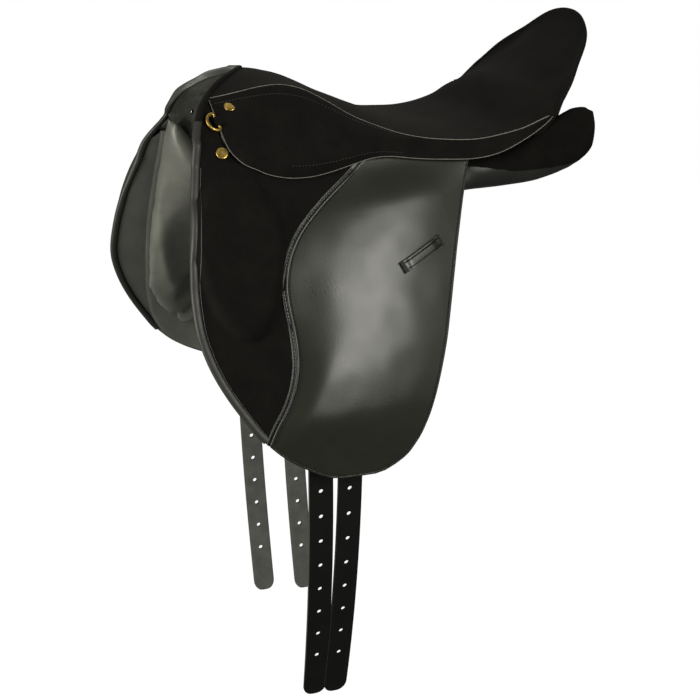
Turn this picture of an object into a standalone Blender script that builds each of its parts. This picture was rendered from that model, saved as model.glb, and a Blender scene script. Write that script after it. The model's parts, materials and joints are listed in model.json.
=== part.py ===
# English saddle on a wooden tree. +X runs to the cantle, -X to the pommel, +Y is the horse's right side
# and -Y its left, +Z is up. The origin lies on the spine line of the horse's back, straight under the
# lowest point of the seat. Lengths are in metres, and the outline tables are in millimetres.

import math

import bmesh
import bpy
import numpy as np
from mathutils import Matrix, Vector

MM = 0.001
GAP = 0.0004            # clearance between pieces that lie on each other

# The outline tables are drawn for these three sizes, and stretch with the sizes below them.
DRAWN_SEAT_LENGTH, DRAWN_SEAT_WIDTH, DRAWN_FLAP_DROP = 0.432, 0.234, 0.294
SEAT_LENGTH = 0.432     # skirt nail to the middle of the cantle, a 17 inch seat
SEAT_WIDTH = 0.234      # across the widest part of the seat
FLAP_DROP = 0.294       # flap crease to its lowest edge

SEAT_LEATHER = 0.0020
FOAM_DEPTH = 0.0120
RAIL_THICKNESS = 0.007
WEB_THICKNESS = 0.0020
WELT_RADIUS = 0.0015
SKIRT_LEATHER = 0.0024
FLAP_BACKING = 0.0022
FLAP_FACE = 0.0015
FLAP_CREASE_Z = 0.057   # the flap folds on this level line under the skirt
CREASE_GAP = 0.0004     # leather left out on each side of a fold
BAND_WIDTH, BAND_THICKNESS = 0.0075, 0.0016
BINDING_WIDTH, BINDING_PROUD = 0.0042, 0.0009
KNEE_PAD_DEPTH = 0.011
# Middle, half width and reach up and down of the knee pad on the flap, in table millimetres
KNEE_CENTRE, KNEE_ACROSS, KNEE_UP, KNEE_DOWN = (-199, -4), 44, 54, 96
SWEAT_FLAP_LEATHER = 0.0025
PANEL_LINING = 0.009    # padded lining on the sweat flap
PANEL_KNEE_ROLL = 0.020

STRAP_WIDTH, STRAP_THICKNESS = 0.025, 0.0035
STRAP_HOLE, STRAP_PITCH, STRAP_HOLES = 0.005, 0.028, 8
FIRST_HOLE = 0.053      # tip to the centre of the lowest hole
TIP_ROUNDING = 0.012
STRAP_FOLD_Z = -0.229
STRAP_FOLD_GAP = 0.0009
# Front straps by side: hung at x, fold at x, tip at x, tip z
FRONT_STRAPS = {"left": (-0.118, -0.131, -0.128, -0.510), "right": (-0.118, -0.107, -0.103, -0.526)}
# Rear straps by side: space to the front strap where it hangs, at the fold and at the tip, then tip z
REAR_STRAPS = {"left": (0.015, 0.005, 0.002, -0.512), "right": (0.015, 0.026, 0.025, -0.532)}
STRAP_CURL = 0.036      # how far the tips swing in under the flaps

NAILING_LEATHER = 0.0030
BAR_FRONT_X, BAR_LENGTH, BAR_HEIGHT, BAR_THICKNESS = -0.172, 0.074, 0.0066, 0.0032
BAR_PLATE_LENGTH, PLATE_THICKNESS, BAR_SLOT = 0.032, 0.0018, 0.0030
BAR_BOTTOM_Z = 0.0575
LATCH_LENGTH = 0.007

RING_WIRE, RING_LENGTH, RING_REACH = 0.0018, 0.021, 0.017
CHAPE_LEATHER, CHAPE_TAIL = 0.0012, 0.0115
NAIL_HEAD, NAIL_DOME = 0.0052, 0.0028

# Seat rim, where the skirt is sewn on: x, half width, z
RIM = [
    (-205, 52.5, 113), (-192, 58, 116), (-174, 62, 120), (-154, 60, 123), (-130, 55, 123), (-110, 55, 118),
    (-86, 60, 105.5), (-64, 67, 92), (-36, 80, 80), (-18, 88, 74), (0, 96, 70.5), (24, 102, 68),
    (55, 106, 67), (86, 109, 71.5), (104, 112.5, 76.5), (118, 116, 83), (129, 117, 87.5),
]
# Cross lines of the seat: rim x, centre x, centre z
SEAT_LINES = [
    (-205, -157, 131.5), (-180, -146, 130.5), (-154, -132, 128.5), (-130, -115, 124.5), (-108, -98, 118),
    (-86, -80, 109), (-64, -60, 99), (-36, -34, 88), (-9, -9, 79.5), (20, 20, 74.3), (50, 52, 73),
    (80, 88, 77.5), (104, 122, 90.5), (118, 152, 110.5), (125, 180, 138), (128, 199, 162), (129, 208, 176),
]
BOW_FRONT, CROWN = 1.3, 2.3     # how full the cut-back head and the crown of the seat are drawn
# Front edge of the head, from the centre down one side: half width, x, z
HEAD_EDGE = [
    (0, -157, 131.5), (20, -172, 129), (36, -188, 124), (52, -204, 114.5), (66, -214, 106), (80, -221, 96.5),
    (94, -227.5, 82), (99, -229.5, 76.5),
]
# Lower edge of the skirt: x, half width, z
SKIRT_EDGE = [
    (-199, 85, 82), (-195, 98.6, 69.5), (-184, 106.2, 58), (-172, 108.8, 52), (-160, 111, 46.5),
    (-141, 113.2, 42.4), (-120, 113.6, 42), (-99, 112.4, 45), (-77, 110.4, 50), (-56, 108.6, 54.5),
    (-36, 108.6, 55), (-10, 110, 51.5), (16, 112.3, 49.3), (50, 115, 48.2), (77, 116.8, 52.5),
    (103, 118, 64), (124, 118.5, 77), (134, 118.4, 86),
]
SKIRT_CREASE = ((-200, 77, 92), (58, 109, 60))      # straight fold of the skirt: x, half width, z
SKIRT_SWELL = 0.0088    # over the stirrup bar
# Flap outline: z, front x, rear x
FLAP_OUTLINE = [
    (-237, -118, -84), (-235.5, -127, -76), (-232, -136, -67), (-225, -150, -54), (-211, -172, -39.5),
    (-192, -193, -27), (-168, -213, -16), (-144, -229, -7.5), (-120, -240, 0), (-93, -247, 7),
    (-57, -248, 16),
    (-22, -245, 25.5), (12, -240.5, 36), (41, -235, 46), (57, -232, 52),
]
# Seam between suede and smooth leather: z, x
FLAP_SEAM = [
    (-192, -193), (-189, -192), (-180, -188.5), (-162, -179.5), (-144, -171), (-127, -162.5), (-109, -155.5),
    (-92, -150.8), (-74, -148.5), (-56, -148), (-38, -148.5), (-21, -148), (-5, -143.6), (11, -135),
    (24, -122.8), (35, -108.7), (44, -94), (50, -77.5), (57, -62),
]
# Sweat flap outline: z, front x, rear x
SWEAT_OUTLINE = [
    (-224, -142, -92), (-218, -160, -76), (-207, -184, -62), (-187, -209, -46), (-166, -222, -36),
    (-143, -227.5, -26), (-98, -230, -10), (-53, -229, 4), (0, -224, 22), (40, -219, 34), (57, -217, 38),
]
# Panel, by station: x, channel half width, top z, shoulder half width, shoulder z, bearing z, lowest z
PANEL_LINES = [
    (-206, 56, 44, 76, 63, 30, -150), (-196, 48, 30, 80, 46, 8, -184), (-178, 44, 28, 86, 38, -2, -203),
    (-150, 41, 28, 92, 38, -6, -216), (-110, 37, 28, 93, 38, -8, -217), (-70, 34, 28, 94, 38, -8, -205),
    (-40, 33, 28, 94, 38, -6, -165), (-12, 33, 29, 95, 40, -4, -105), (12, 33, 30, 97, 42, -3, -45),
    (36, 33, 32, 100, 46, -2, 4), (60, 33, 34, 103, 49, -1, 14), (95, 34, 38, 104, 54, 3, 17),
    (130, 36, 44, 104, 71, 11, 23), (160, 40, 54, 95, 86.5, 23, 32), (182, 46, 62, 86, 91, 38, 42),
    (196, 54, 66, 78, 85, 50, 54),
]
# Head arch, from the centre down one side: half width, front x, z
HEAD_ARCH = [
    (0, -148, 110), (28, -156, 106.5), (50, -166, 97), (68, -176, 84.5), (81, -183, 72), (89.6, -187, 58),
]
HEAD_DEPTH, HEAD_THICKNESS = 0.030, 0.009
CANTLE_FOOT = (128, 80, 115.5, 86.5)       # foot of the cantle's back: x of its ends, depth, half width, z
CANTLE_SWELL = 0.0165
# Front and rear girth webs, from the centre outwards: half width, z
WEB_PATHS = {
    "front": (-0.118, [(0, 88), (30, 88), (56, 85), (76, 77), (88, 70.5)]),
    "rear": (-0.070, [(0, 64), (40, 64), (60, 64.5), (78, 69), (87, 69.5)]),
}
WEB_WIDTH, WEB_LOW_Z = 0.036, 0.046
KEEPER = ((-43.3, -40.1), (0.3, -19.5))     # upper corners of the keeper on the flap: x, z
KEEPER_WIDTH, KEEPER_LEATHER, KEEPER_SLOT = 0.0105, 0.0016, 0.0034
SKIRT_NAIL, FLAP_NAIL = -188, (-203, 68)     # x of the one, x and z of the other

LONG = SEAT_LENGTH / DRAWN_SEAT_LENGTH
WIDE = SEAT_WIDTH / DRAWN_SEAT_WIDTH
DEEP = FLAP_DROP / DRAWN_FLAP_DROP


def smooth(rows):
    """A smooth curve through the rows of a table, read by its first column."""
    table = np.array(sorted(rows), float)
    x, y = table[:, 0], table[:, 1:]
    slope = np.gradient(y, x, axis=0)

    def value(at):
        at = min(max(at, x[0]), x[-1])
        i = min(int(np.searchsorted(x, at, side="right")) - 1, len(x) - 2)
        h = x[i + 1] - x[i]
        t = (at - x[i]) / h
        return ((2 * t**3 - 3 * t**2 + 1) * y[i] + (t**3 - 2 * t**2 + t) * h * slope[i]
                + (3 * t**2 - 2 * t**3) * y[i + 1] + (t**3 - t**2) * h * slope[i + 1])

    return value


def drawn(x, y, z):
    """A point of the tables, in millimetres, at the model's size in metres."""
    low = FLAP_CREASE_Z / MM
    z = z if z > low else low + (z - low) * DEEP
    return Vector((x * LONG, y * WIDE, z)) * MM


rim = smooth(RIM)
seat_line = smooth([(i / (len(SEAT_LINES) - 1), *row) for i, row in enumerate(SEAT_LINES)])
head_edge = smooth([(i / (len(HEAD_EDGE) - 1), *row) for i, row in enumerate(HEAD_EDGE)])
head_arch = smooth([(i / (len(HEAD_ARCH) - 1), *row) for i, row in enumerate(HEAD_ARCH)])
skirt_edge = smooth([(i / (len(SKIRT_EDGE) - 1), *row) for i, row in enumerate(SKIRT_EDGE)])
flap_outline = smooth(FLAP_OUTLINE)
flap_seam = smooth(FLAP_SEAM)
sweat_outline = smooth(SWEAT_OUTLINE)
panel_line = smooth(PANEL_LINES)


# The surface of the seat

def seat(u, v):
    """The top of the seat: u runs 0 to 1 from pommel to cantle, v runs -1 to 1 across."""
    x_rim, x_mid, z_mid = seat_line(u)
    half, z_rim = rim(x_rim)
    across = math.sin(v * math.pi / 2)
    bow = math.cos(v * math.pi / 2) if u > 0.5 else 1 - abs(across) ** BOW_FRONT
    return drawn(x_rim + (x_mid - x_rim) * bow, half * across,
                 z_rim + (z_mid - z_rim) * (1 - abs(across) ** CROWN))


def under_seat(u, v, depth):
    """A point this deep below the top of the seat, square to it."""
    step, inside = 0.01, min(max(v, -0.9), 0.9)
    du = seat(min(u + step, 1), inside) - seat(max(u - step, 0), inside)
    dv = seat(u, inside + step) - seat(u, inside - step)
    return seat(u, v) - du.cross(dv).normalized() * depth


# The surfaces at the side, as a half width at a height

def flap_inner(x, z):
    """Half width of the flap's inner face, from table x and z in millimetres."""
    rise = max(0.0, (z + 235) / 315)
    wrap = 8 * ((x + 105) / 140) ** 2 * min(max((60 - z) / 200, 0), 1)
    return (193 - 107 * rise**1.6 - wrap) * MM * WIDE


def knee_bulge(x, z):
    """How far the knee pad lifts the suede of the flap."""
    across = (x - KNEE_CENTRE[0]) / KNEE_ACROSS
    along = (z - KNEE_CENTRE[1]) / (KNEE_UP if z > KNEE_CENTRE[1] else KNEE_DOWN)
    return KNEE_PAD_DEPTH * max(0.0, 1 - across**2 - along**2)


def sweat_outer(x, z):
    """Half width of the sweat flap's outer face: close to the flap at its top and free of it below."""
    share = min(max((64 - z) / 22, 0), 1)
    room = 0.0028 + 0.0040 * share + 0.019 * min(max((42 - z) / 260, 0), 1)
    return flap_inner(x, z) - room


def table_z(z):
    """The height in the tables, in millimetres, that the model has at this height in metres."""
    low = FLAP_CREASE_Z / MM
    return z / MM if z > FLAP_CREASE_Z else low + (z / MM - low) / DEEP


def place(x, half, z, side):
    """A point from table x and z and a half width in metres."""
    point = drawn(x, 0, z)
    point.y = side * half
    return point


# Building solids

def collection_of(name):
    found = bpy.data.collections.new(name)
    bpy.context.scene.collection.children.link(found)
    return found


def material_of(name, colour, roughness, metallic=0.0):
    material = bpy.data.materials.new(name)
    material.use_nodes = True
    shader = material.node_tree.nodes["Principled BSDF"]
    shader.inputs["Base Color"].default_value = (*colour, 1)
    shader.inputs["Roughness"].default_value = roughness
    shader.inputs["Metallic"].default_value = metallic
    return material


def new_object(name, mesh, finish, parent=None):
    """Links the mesh as an object, with a material of its own, under its joint's empty if it moves."""
    obj = bpy.data.objects.new(name, mesh)
    saddle.objects.link(obj)
    mesh.materials.append(material_of(name, *finish))
    if parent:
        obj.parent = parent
        obj.matrix_parent_inverse = Matrix.Translation(-parent.location)
    return obj


def mesh_of(name, work, sharp=50):
    bmesh.ops.remove_doubles(work, verts=work.verts, dist=1e-6)
    bmesh.ops.recalc_face_normals(work, faces=work.faces)
    mesh = bpy.data.meshes.new(name)
    work.to_mesh(mesh)
    work.free()
    mesh.shade_smooth()
    mesh.set_sharp_from_angle(angle=math.radians(sharp))
    return mesh


def grid_faces(work, rows):
    for low, high in zip(rows[:-1], rows[1:]):
        for i in range(len(low) - 1):
            work.faces.new((low[i], low[i + 1], high[i + 1], high[i]))


def layer(name, top, bottom, finish, parent=None):
    """A closed solid between two grids of points, with as many rows and columns in each."""
    work = bmesh.new()
    upper = [[work.verts.new(p) for p in row] for row in top]
    lower = [[work.verts.new(p) for p in row] for row in bottom]
    grid_faces(work, upper)
    grid_faces(work, lower)
    grid_faces(work, [upper[0], lower[0]])
    grid_faces(work, [upper[-1], lower[-1]])
    grid_faces(work, [[row[0] for row in upper], [row[0] for row in lower]])
    grid_faces(work, [[row[-1] for row in upper], [row[-1] for row in lower]])
    return new_object(name, mesh_of(name, work), finish, parent)


def steps(start, end, count):
    return [start + (end - start) * i / count for i in range(count + 1)]


def seat_layer(name, us, vs, top, bottom, finish):
    """A solid that follows the seat between two depths, each a number or a function of u and v."""
    depth = [d if callable(d) else (lambda u, v, d=d: d) for d in (top, bottom)]
    grids = [[[under_seat(u, v, d(u, v)) for v in vs] for u in us] for d in depth]
    return layer(name, *grids, finish)


def side_sheet(name, side, zs, columns, front, rear, inner, outer, finish, parent=None):
    """A sheet at the side, in level rows from a front edge to a rear edge, between two half widths."""
    rows = [[(x, z) for x in steps(front(z), rear(z), columns)] for z in zs]
    grids = [[[place(x, face(x, z), z, side) for x, z in row] for row in rows] for face in (outer, inner)]
    return layer(name, *grids, finish, parent)


def joint(name, at):
    """An empty on a joint's axis, which carries the pieces that turn about it."""
    empty = bpy.data.objects.new(name, None)
    empty.empty_display_size = 0.02
    empty.location = at
    saddle.objects.link(empty)
    return empty


def curve_mesh(name, points, radius, cyclic=False, sides=1):
    """A tube along the points, as a mesh."""
    curve = bpy.data.curves.new(name, "CURVE")
    curve.dimensions = "3D"
    curve.bevel_depth = radius
    curve.bevel_resolution = sides
    curve.use_fill_caps = True
    spline = curve.splines.new("POLY")
    spline.points.add(len(points) - 1)
    for point, at in zip(spline.points, points):
        point.co = (*at, 1)
    spline.use_cyclic_u = cyclic
    return baked(name, curve)


def baked(name, curve):
    """The evaluated mesh of a curve, with its caps welded."""
    guide = bpy.data.objects.new(name + ".guide", curve)
    bpy.context.scene.collection.objects.link(guide)
    bpy.context.view_layer.update()
    mesh = bpy.data.meshes.new_from_object(guide.evaluated_get(bpy.context.evaluated_depsgraph_get()))
    bpy.data.objects.remove(guide)
    work = bmesh.new()
    work.from_mesh(mesh)
    bmesh.ops.remove_doubles(work, verts=work.verts, dist=1e-6)
    return mesh_of(name, work, 35)


def cut(obj, cutter_mesh):
    cutter = bpy.data.objects.new(obj.name + ".cutter", cutter_mesh)
    cutters.objects.link(cutter)
    cutter.hide_render = True
    cutter.display_type = "WIRE"
    modifier = obj.modifiers.new("holes", "BOOLEAN")
    modifier.object = cutter
    return cutter


def frame_matrix(origin, x_axis, y_axis):
    """A frame with its X axis as given, its Y axis as near to the second as can be, at the origin given."""
    x = Vector(x_axis).normalized()
    z = x.cross(Vector(y_axis)).normalized()
    y = z.cross(x)
    return Matrix.Translation(origin) @ Matrix((x, y, z)).transposed().to_4x4()


SUEDE, LEATHER = ((0.012, 0.012, 0.012), 0.95), ((0.028, 0.029, 0.028), 0.38)
LINING = ((0.05, 0.055, 0.05), 0.6)
WOOD, STEEL, BRASS = ((0.42, 0.27, 0.14), 0.6), ((0.5, 0.5, 0.5), 0.35, 1.0), ((0.68, 0.47, 0.2), 0.3, 1.0)
FOAM, WEBBING, EDGE = ((0.75, 0.7, 0.55), 0.9), ((0.6, 0.55, 0.45), 0.9), ((0.02, 0.02, 0.02), 0.5)


# The tree inside the seat

def foam_bottom(_, v):
    """Depth of the foam's underside, which thins towards the rim."""
    return SEAT_LEATHER + GAP + FOAM_DEPTH * (1 - 0.75 * min(max((abs(v) - 0.42) / 0.38, 0), 1))


SEAT_ROWS = steps(0, 1, 20)
SEAT_ACROSS = [-1, -0.92, -0.8, -0.62, -0.42, -0.2, 0, 0.2, 0.42, 0.62, 0.8, 0.92, 1]


def build_seat():
    rows, across = SEAT_ROWS, SEAT_ACROSS
    seat_layer("seat_cover", rows, across, 0.0, SEAT_LEATHER, SUEDE)
    seat_layer("seat_foam", rows[1:-1], across[2:-2], SEAT_LEATHER + GAP, foam_bottom, FOAM)
    below = SEAT_LEATHER + 3 * GAP + FOAM_DEPTH
    seat_layer("seat_web", rows[4:16], across[5:8], below, below + WEB_THICKNESS, WEBBING)
    for side, name in ((-1, "left"), (1, "right")):
        seat_layer("tree_rail_" + name, rows[5:15], [side * v for v in (0.30, 0.42, 0.62)],
                   below, below + RAIL_THICKNESS, WOOD)
    seat_layer("tree_cantle", rows[16:19], across[4:9], below, below + RAIL_THICKNESS, WOOD)


def build_welt():
    """The piping along the left rim, round the cantle and back along the right rim."""
    edge = [seat(u, -1) for u in SEAT_ROWS] + [seat(1, v) for v in SEAT_ACROSS[1:-1]]
    edge += [seat(u, 1) for u in SEAT_ROWS[::-1]]
    path = []
    for i, point in enumerate(edge):
        run = edge[min(i + 1, len(edge) - 1)] - edge[max(i - 1, 0)]
        away = Vector((run.y, -run.x, 0)).normalized()
        out = WELT_RADIUS + GAP + (SEAT_LEATHER if i > 20 and i < len(edge) - 21 else 0)
        path.append(point + away * out + Vector((0, 0, -0.0008)))
    new_object("seat_welt", curve_mesh("seat_welt", path, WELT_RADIUS, sides=0), EDGE)


def arch_rows(offset, x_in, depth, reach):
    """Two grids' rows of the head arch, set in from its outer face by offset."""
    rows = []
    for t in steps(-reach, reach, 14):
        half, x, z = head_arch(abs(t))
        here, later = head_arch(min(abs(t) + 0.02, 1)), head_arch(max(abs(t) - 0.02, 0))
        run = Vector(((here - later)[0] * WIDE, (here - later)[2])).normalized()
        half = half * WIDE + offset / MM * run.y
        z = z - offset / MM * run.x
        side = 1 if t > 0 else -1
        rows.append([Vector((x * LONG * MM + x_in + d, side * half * MM, z * MM))
                     for d in (0, depth / 2, depth)])
    return rows


def build_head():
    layer("tree_head", arch_rows(0, 0, HEAD_DEPTH, 1), arch_rows(HEAD_THICKNESS, 0, HEAD_DEPTH, 1), WOOD)
    inset = HEAD_THICKNESS + 2 * GAP
    layer("gullet_plate", arch_rows(inset, 0.004, 0.022, 0.86),
          arch_rows(inset + PLATE_THICKNESS, 0.004, 0.022, 0.86), STEEL)


def build_girth_web(name):
    x_mid, path = WEB_PATHS[name]
    outline = [(half, z) for half, z in path]
    line = smooth([(i / (len(outline) - 1), *row) for i, row in enumerate(outline)])
    middle = []
    for t in steps(0, 1, 7):
        half, z = line(t)
        middle.append((half * WIDE * MM, z * MM))
    for z in (0.066, 0.060, 0.053, WEB_LOW_Z):
        inwards = 0.0012 if z > FLAP_CREASE_Z else 0.0
        middle.append((sweat_outer(x_mid / MM, table_z(z)) + 2 * GAP + WEB_THICKNESS / 2 - inwards, z))
    both = [(-half, z) for half, z in middle[::-1]] + middle[1:]
    faces = []
    for lift in (WEB_THICKNESS / 2, -WEB_THICKNESS / 2):
        rows = []
        for i, (half, z) in enumerate(both):
            before, after = both[max(i - 1, 0)], both[min(i + 1, len(both) - 1)]
            run = Vector((after[0] - before[0], after[1] - before[1])).normalized()
            rows.append([Vector((x_mid * LONG + dx, half - run.y * lift, z + run.x * lift))
                         for dx in (-WEB_WIDTH / 2, WEB_WIDTH / 2)])
        faces.append(rows)
    layer("girth_web_" + name, *faces, WEBBING)


# Coverings of the head and the cantle

def build_pommel_facing():
    outer, inner = [], []
    for t in steps(-0.86, 0.86, 16):
        side = 1 if t > 0 else -1
        half, x, z = head_edge(abs(t))
        edge = drawn(x, side * half, z)
        low = drawn(-166 - 30 * abs(t) ** 1.2, side * (54 * abs(t) ** 0.72), 96 - 34 * abs(t) ** 1.6)
        row = [edge.lerp(low, share) + Vector((0.004 * math.sin(share * math.pi), 0, -SEAT_LEATHER - 3 * GAP))
               for share in (0.0, 0.33, 0.66, 1.0)]
        outer.append(row)
        inner.append([p + Vector((SEAT_LEATHER, 0, -0.0004)) for p in row])
    layer("pommel_facing", outer, inner, LINING)


def build_head_side(side, name):
    outer, inner = [], []
    for share in steps(0, 1, 6):
        half, x, z = head_edge(0.52 + 0.40 * share)
        edge = drawn(x + 1.5, side * half, z - 0.5)
        back = drawn(-188, side * (48 + 24 * share), 102 - 26 * share)
        row = [edge.lerp(back, s) + Vector((0, 0, -0.003 * s)) for s in (0, 0.4, 1)]
        outer.append(row)
        inner.append([p + Vector((0.0007, -side * 0.0012, -0.0006)) for p in row])
    layer("head_side_" + name, outer, inner, SUEDE)


def build_cantle_back():
    """The rear wall of the cantle, which swells out behind the rim and draws in again to the panels."""
    outer, inner = [], []
    for v in SEAT_ACROSS[1:-1]:
        across, along = math.sin(v * math.pi / 2), math.cos(v * math.pi / 2)
        away = Vector((1.5 * along, across, 0)).normalized()
        top = seat(1, v) + away * (SEAT_LEATHER + 3 * GAP) + Vector((0, 0, -0.0034))
        low = drawn(CANTLE_FOOT[0] + CANTLE_FOOT[1] * along, CANTLE_FOOT[2] * across, CANTLE_FOOT[3])
        row = []
        for share, out in ((0, 0), (0.14, 0.55), (0.32, 0.95), (0.5, 1), (0.72, 0.7), (1, 0)):
            row.append(top.lerp(low, share) + away * (CANTLE_SWELL * out * along**0.8))
        outer.append(row)
        inner.append([p - away * SEAT_LEATHER for p in row])
    layer("cantle_back", outer, inner, SUEDE)


# Skirts

def crease_point(a, side):
    front, rear = (drawn(*p) for p in SKIRT_CREASE)
    point = front.lerp(rear, a)
    return Vector((point.x, side * point.y, point.z))


def skirt_rim(x, side):
    half, z = rim(x)
    return drawn(x, side * half, z) + Vector((0, side * 0.0036, -0.0030))


def bar_room(x):
    """How far the skirt swells out over the stirrup bar, from 0 to 1."""
    front, rear = (x + 199) / 14, (-28 - x) / 50
    return min(max(min(front, rear), 0), 1)


def build_skirt(side, name, fold):
    """The strip sewn to the seat, which stays, and the free lobe below the fold."""
    x_front, x_rear = SKIRT_EDGE[0][0], SKIRT_CREASE[1][0]
    sewn, lobe = [], []
    for i in range(61):
        x, half, z = skirt_edge(i / 60)
        low = drawn(x, side * half, z)
        if x > x_rear + 3 and i % 3 == 0:
            share = (x - x_rear) / (SKIRT_EDGE[-1][0] - x_rear)
            top = skirt_rim(x_rear + share * (128.5 - x_rear), side)
            sewn.append([top, top.lerp(low, 0.5) + Vector((0, side * 0.0008, 0)), low])
        if x > x_rear or i % 3:
            continue
        share = (x - x_front) / (x_rear - x_front)
        top = skirt_rim(RIM[0][0] + 2 + share * (x_rear - RIM[0][0] - 2), side)
        mid = crease_point(share, side)
        swell = Vector((0, side * 0.6, 0.8)) * 0.004 * math.sin(min(share * 1.5, 1) * math.pi)
        room = Vector((0, side * 0.97, 0.25)) * SKIRT_SWELL * bar_room(x)
        sewn.append([top, top.lerp(mid, 0.5) + swell, mid - (mid - top).normalized() * CREASE_GAP])
        lobe.append([mid + (low - mid).normalized() * CREASE_GAP, mid.lerp(low, 0.30) + room,
                     mid.lerp(low, 0.72) + room * 0.9, low])
    hand = Vector((0, -side * SKIRT_LEATHER, -0.0008))
    layer("skirt_sewn_" + name, sewn, [[p + hand for p in row] for row in sewn], SUEDE)
    layer("skirt_lobe_" + name, lobe, [[p + hand for p in row] for row in lobe], SUEDE, fold)


# Flaps

FLAP_ROWS = [-237, -235.5, -231, -222, -207, -189, -168, -145, -118, -88, -56, -24, 4, 24, 40, 49]
NAILING_ROWS = [61, 66, 70, 75]


def flap_front(z):
    return float(flap_outline(z)[0])


def flap_rear(z):
    return float(flap_outline(z)[1])


def seam_x(z):
    return float(flap_seam(z)[0])


def flap_face(x, z):
    return flap_inner(x, z) + FLAP_BACKING


def suede_inner(x, z):
    bulge = knee_bulge(x, z)
    return flap_face(x, z) + GAP + (bulge + GAP if bulge > 0.0006 else 0)


def leather_inner(x, z):
    return flap_face(x, z) + GAP


def thicker(face, by):
    return lambda x, z: face(x, z) + by


def build_flap(side, name, crease):
    top = (FLAP_CREASE_Z - CREASE_GAP) / MM
    rows = FLAP_ROWS + [top]
    foot = FLAP_SEAM[0][0]
    edge = BINDING_WIDTH / MM
    side_sheet("flap_backing_" + name, side, rows, 6, flap_front, flap_rear, flap_inner, flap_face,
               LEATHER, crease)
    upper = [foot + 4] + [z for z in rows if z > foot + 8]
    side_sheet("flap_suede_" + name, side, upper, 9, flap_front, lambda z: seam_x(z) - 0.4,
               suede_inner, thicker(suede_inner, FLAP_FACE), SUEDE, crease)
    side_sheet("flap_leather_" + name, side, rows, 4,
               lambda z: seam_x(z) + 0.4 if z > foot else flap_front(z), flap_rear,
               leather_inner, thicker(leather_inner, FLAP_FACE), LEATHER, crease)
    half_band = BAND_WIDTH / MM / 2
    on_face = thicker(suede_inner, FLAP_FACE + 3 * GAP)
    side_sheet("flap_band_" + name, side, [z for z in upper if z <= 40], 2, lambda z: seam_x(z) - half_band,
               lambda z: seam_x(z) + half_band, on_face, thicker(on_face, BAND_THICKNESS), LEATHER, crease)
    stack = FLAP_BACKING + GAP + FLAP_FACE
    side_sheet("flap_binding_" + name, side, upper, 1, lambda z: flap_front(z) - 0.4 - edge,
               lambda z: flap_front(z) - 0.4, thicker(flap_inner, -BINDING_PROUD),
               thicker(flap_inner, stack + BINDING_PROUD), SUEDE, crease)


def build_knee_pad(side, name, crease):
    rows = [-76, -56, -32, -8, 14, 30]

    def reach(z):
        along = (z - KNEE_CENTRE[1]) / (KNEE_UP if z > KNEE_CENTRE[1] else KNEE_DOWN)
        return KNEE_ACROSS * 0.78 * math.sqrt(max(0.02, 1 - along**2))

    side_sheet("knee_pad_" + name, side, rows, 6, lambda z: KNEE_CENTRE[0] - reach(z),
               lambda z: KNEE_CENTRE[0] + reach(z), leather_inner,
               lambda x, z: leather_inner(x, z) + max(knee_bulge(x, z) - 0.0018, 0.0006), FOAM, crease)


def build_nailing(side, name):
    """The top of the flap, nailed to the tree in front and under the skirt, cut out for the stirrup bar."""
    low = (FLAP_CREASE_Z + CREASE_GAP) / MM
    rear_end = smooth([(low, FLAP_OUTLINE[-1][2] - 8), (61, 40), (66, -30), (70, -202), (75, -203)])
    strip = side_sheet("flap_nailing_" + name, side, [low] + NAILING_ROWS, 12,
                       lambda z: FLAP_OUTLINE[-1][1] + 0.09 * (z - low), lambda z: float(rear_end(z)[0]),
                       flap_inner, thicker(flap_inner, NAILING_LEATHER), LEATHER)
    size = (BAR_LENGTH + LATCH_LENGTH + 0.010, 0.03, 2 * (BAR_HEIGHT + 0.0030))
    middle = (BAR_FRONT_X * LONG + size[0] / 2 - 0.003, side * flap_inner(-130, low), FLAP_CREASE_Z)
    work = bmesh.new()
    bmesh.ops.create_cube(work, size=1, matrix=Matrix.Translation(middle) @ Matrix.Diagonal((*size, 1)))
    cut(strip, mesh_of(strip.name + ".slot", work))


def build_sweat_flap(side, name):
    rows = [row[0] for row in SWEAT_OUTLINE]
    rows = sorted(rows + [-120, -75, -26, 20, 48])
    side_sheet("sweat_flap_" + name, side, rows, 5, lambda z: float(sweat_outline(z)[0]),
               lambda z: float(sweat_outline(z)[1]), thicker(sweat_outer, -SWEAT_FLAP_LEATHER), sweat_outer,
               LEATHER)


def build_keeper(side, name, crease):
    (x0, z0), (x1, z1) = KEEPER
    run = Vector((x1 - x0, z1 - z0)).normalized()
    down = Vector((run.y, -run.x)) * (KEEPER_WIDTH / MM)
    stack = FLAP_FACE + GAP
    outer, inner = [], []
    for share in (0, 0.12, 0.2, 0.5, 0.8, 0.88, 1):
        rise = KEEPER_SLOT if 0.15 < share < 0.85 else 0.0
        rows = []
        for across in (0, 0.5, 1):
            at = Vector((x0, z0)).lerp(Vector((x1, z1)), share) + down * across
            rows.append((at, leather_inner(at.x, at.y) + stack + rise))
        outer.append([place(at.x, half + KEEPER_LEATHER, at.y, side) for at, half in rows])
        inner.append([place(at.x, half, at.y, side) for at, half in rows])
    layer("keeper_" + name, outer, inner, LEATHER, crease)


# Panels

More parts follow.
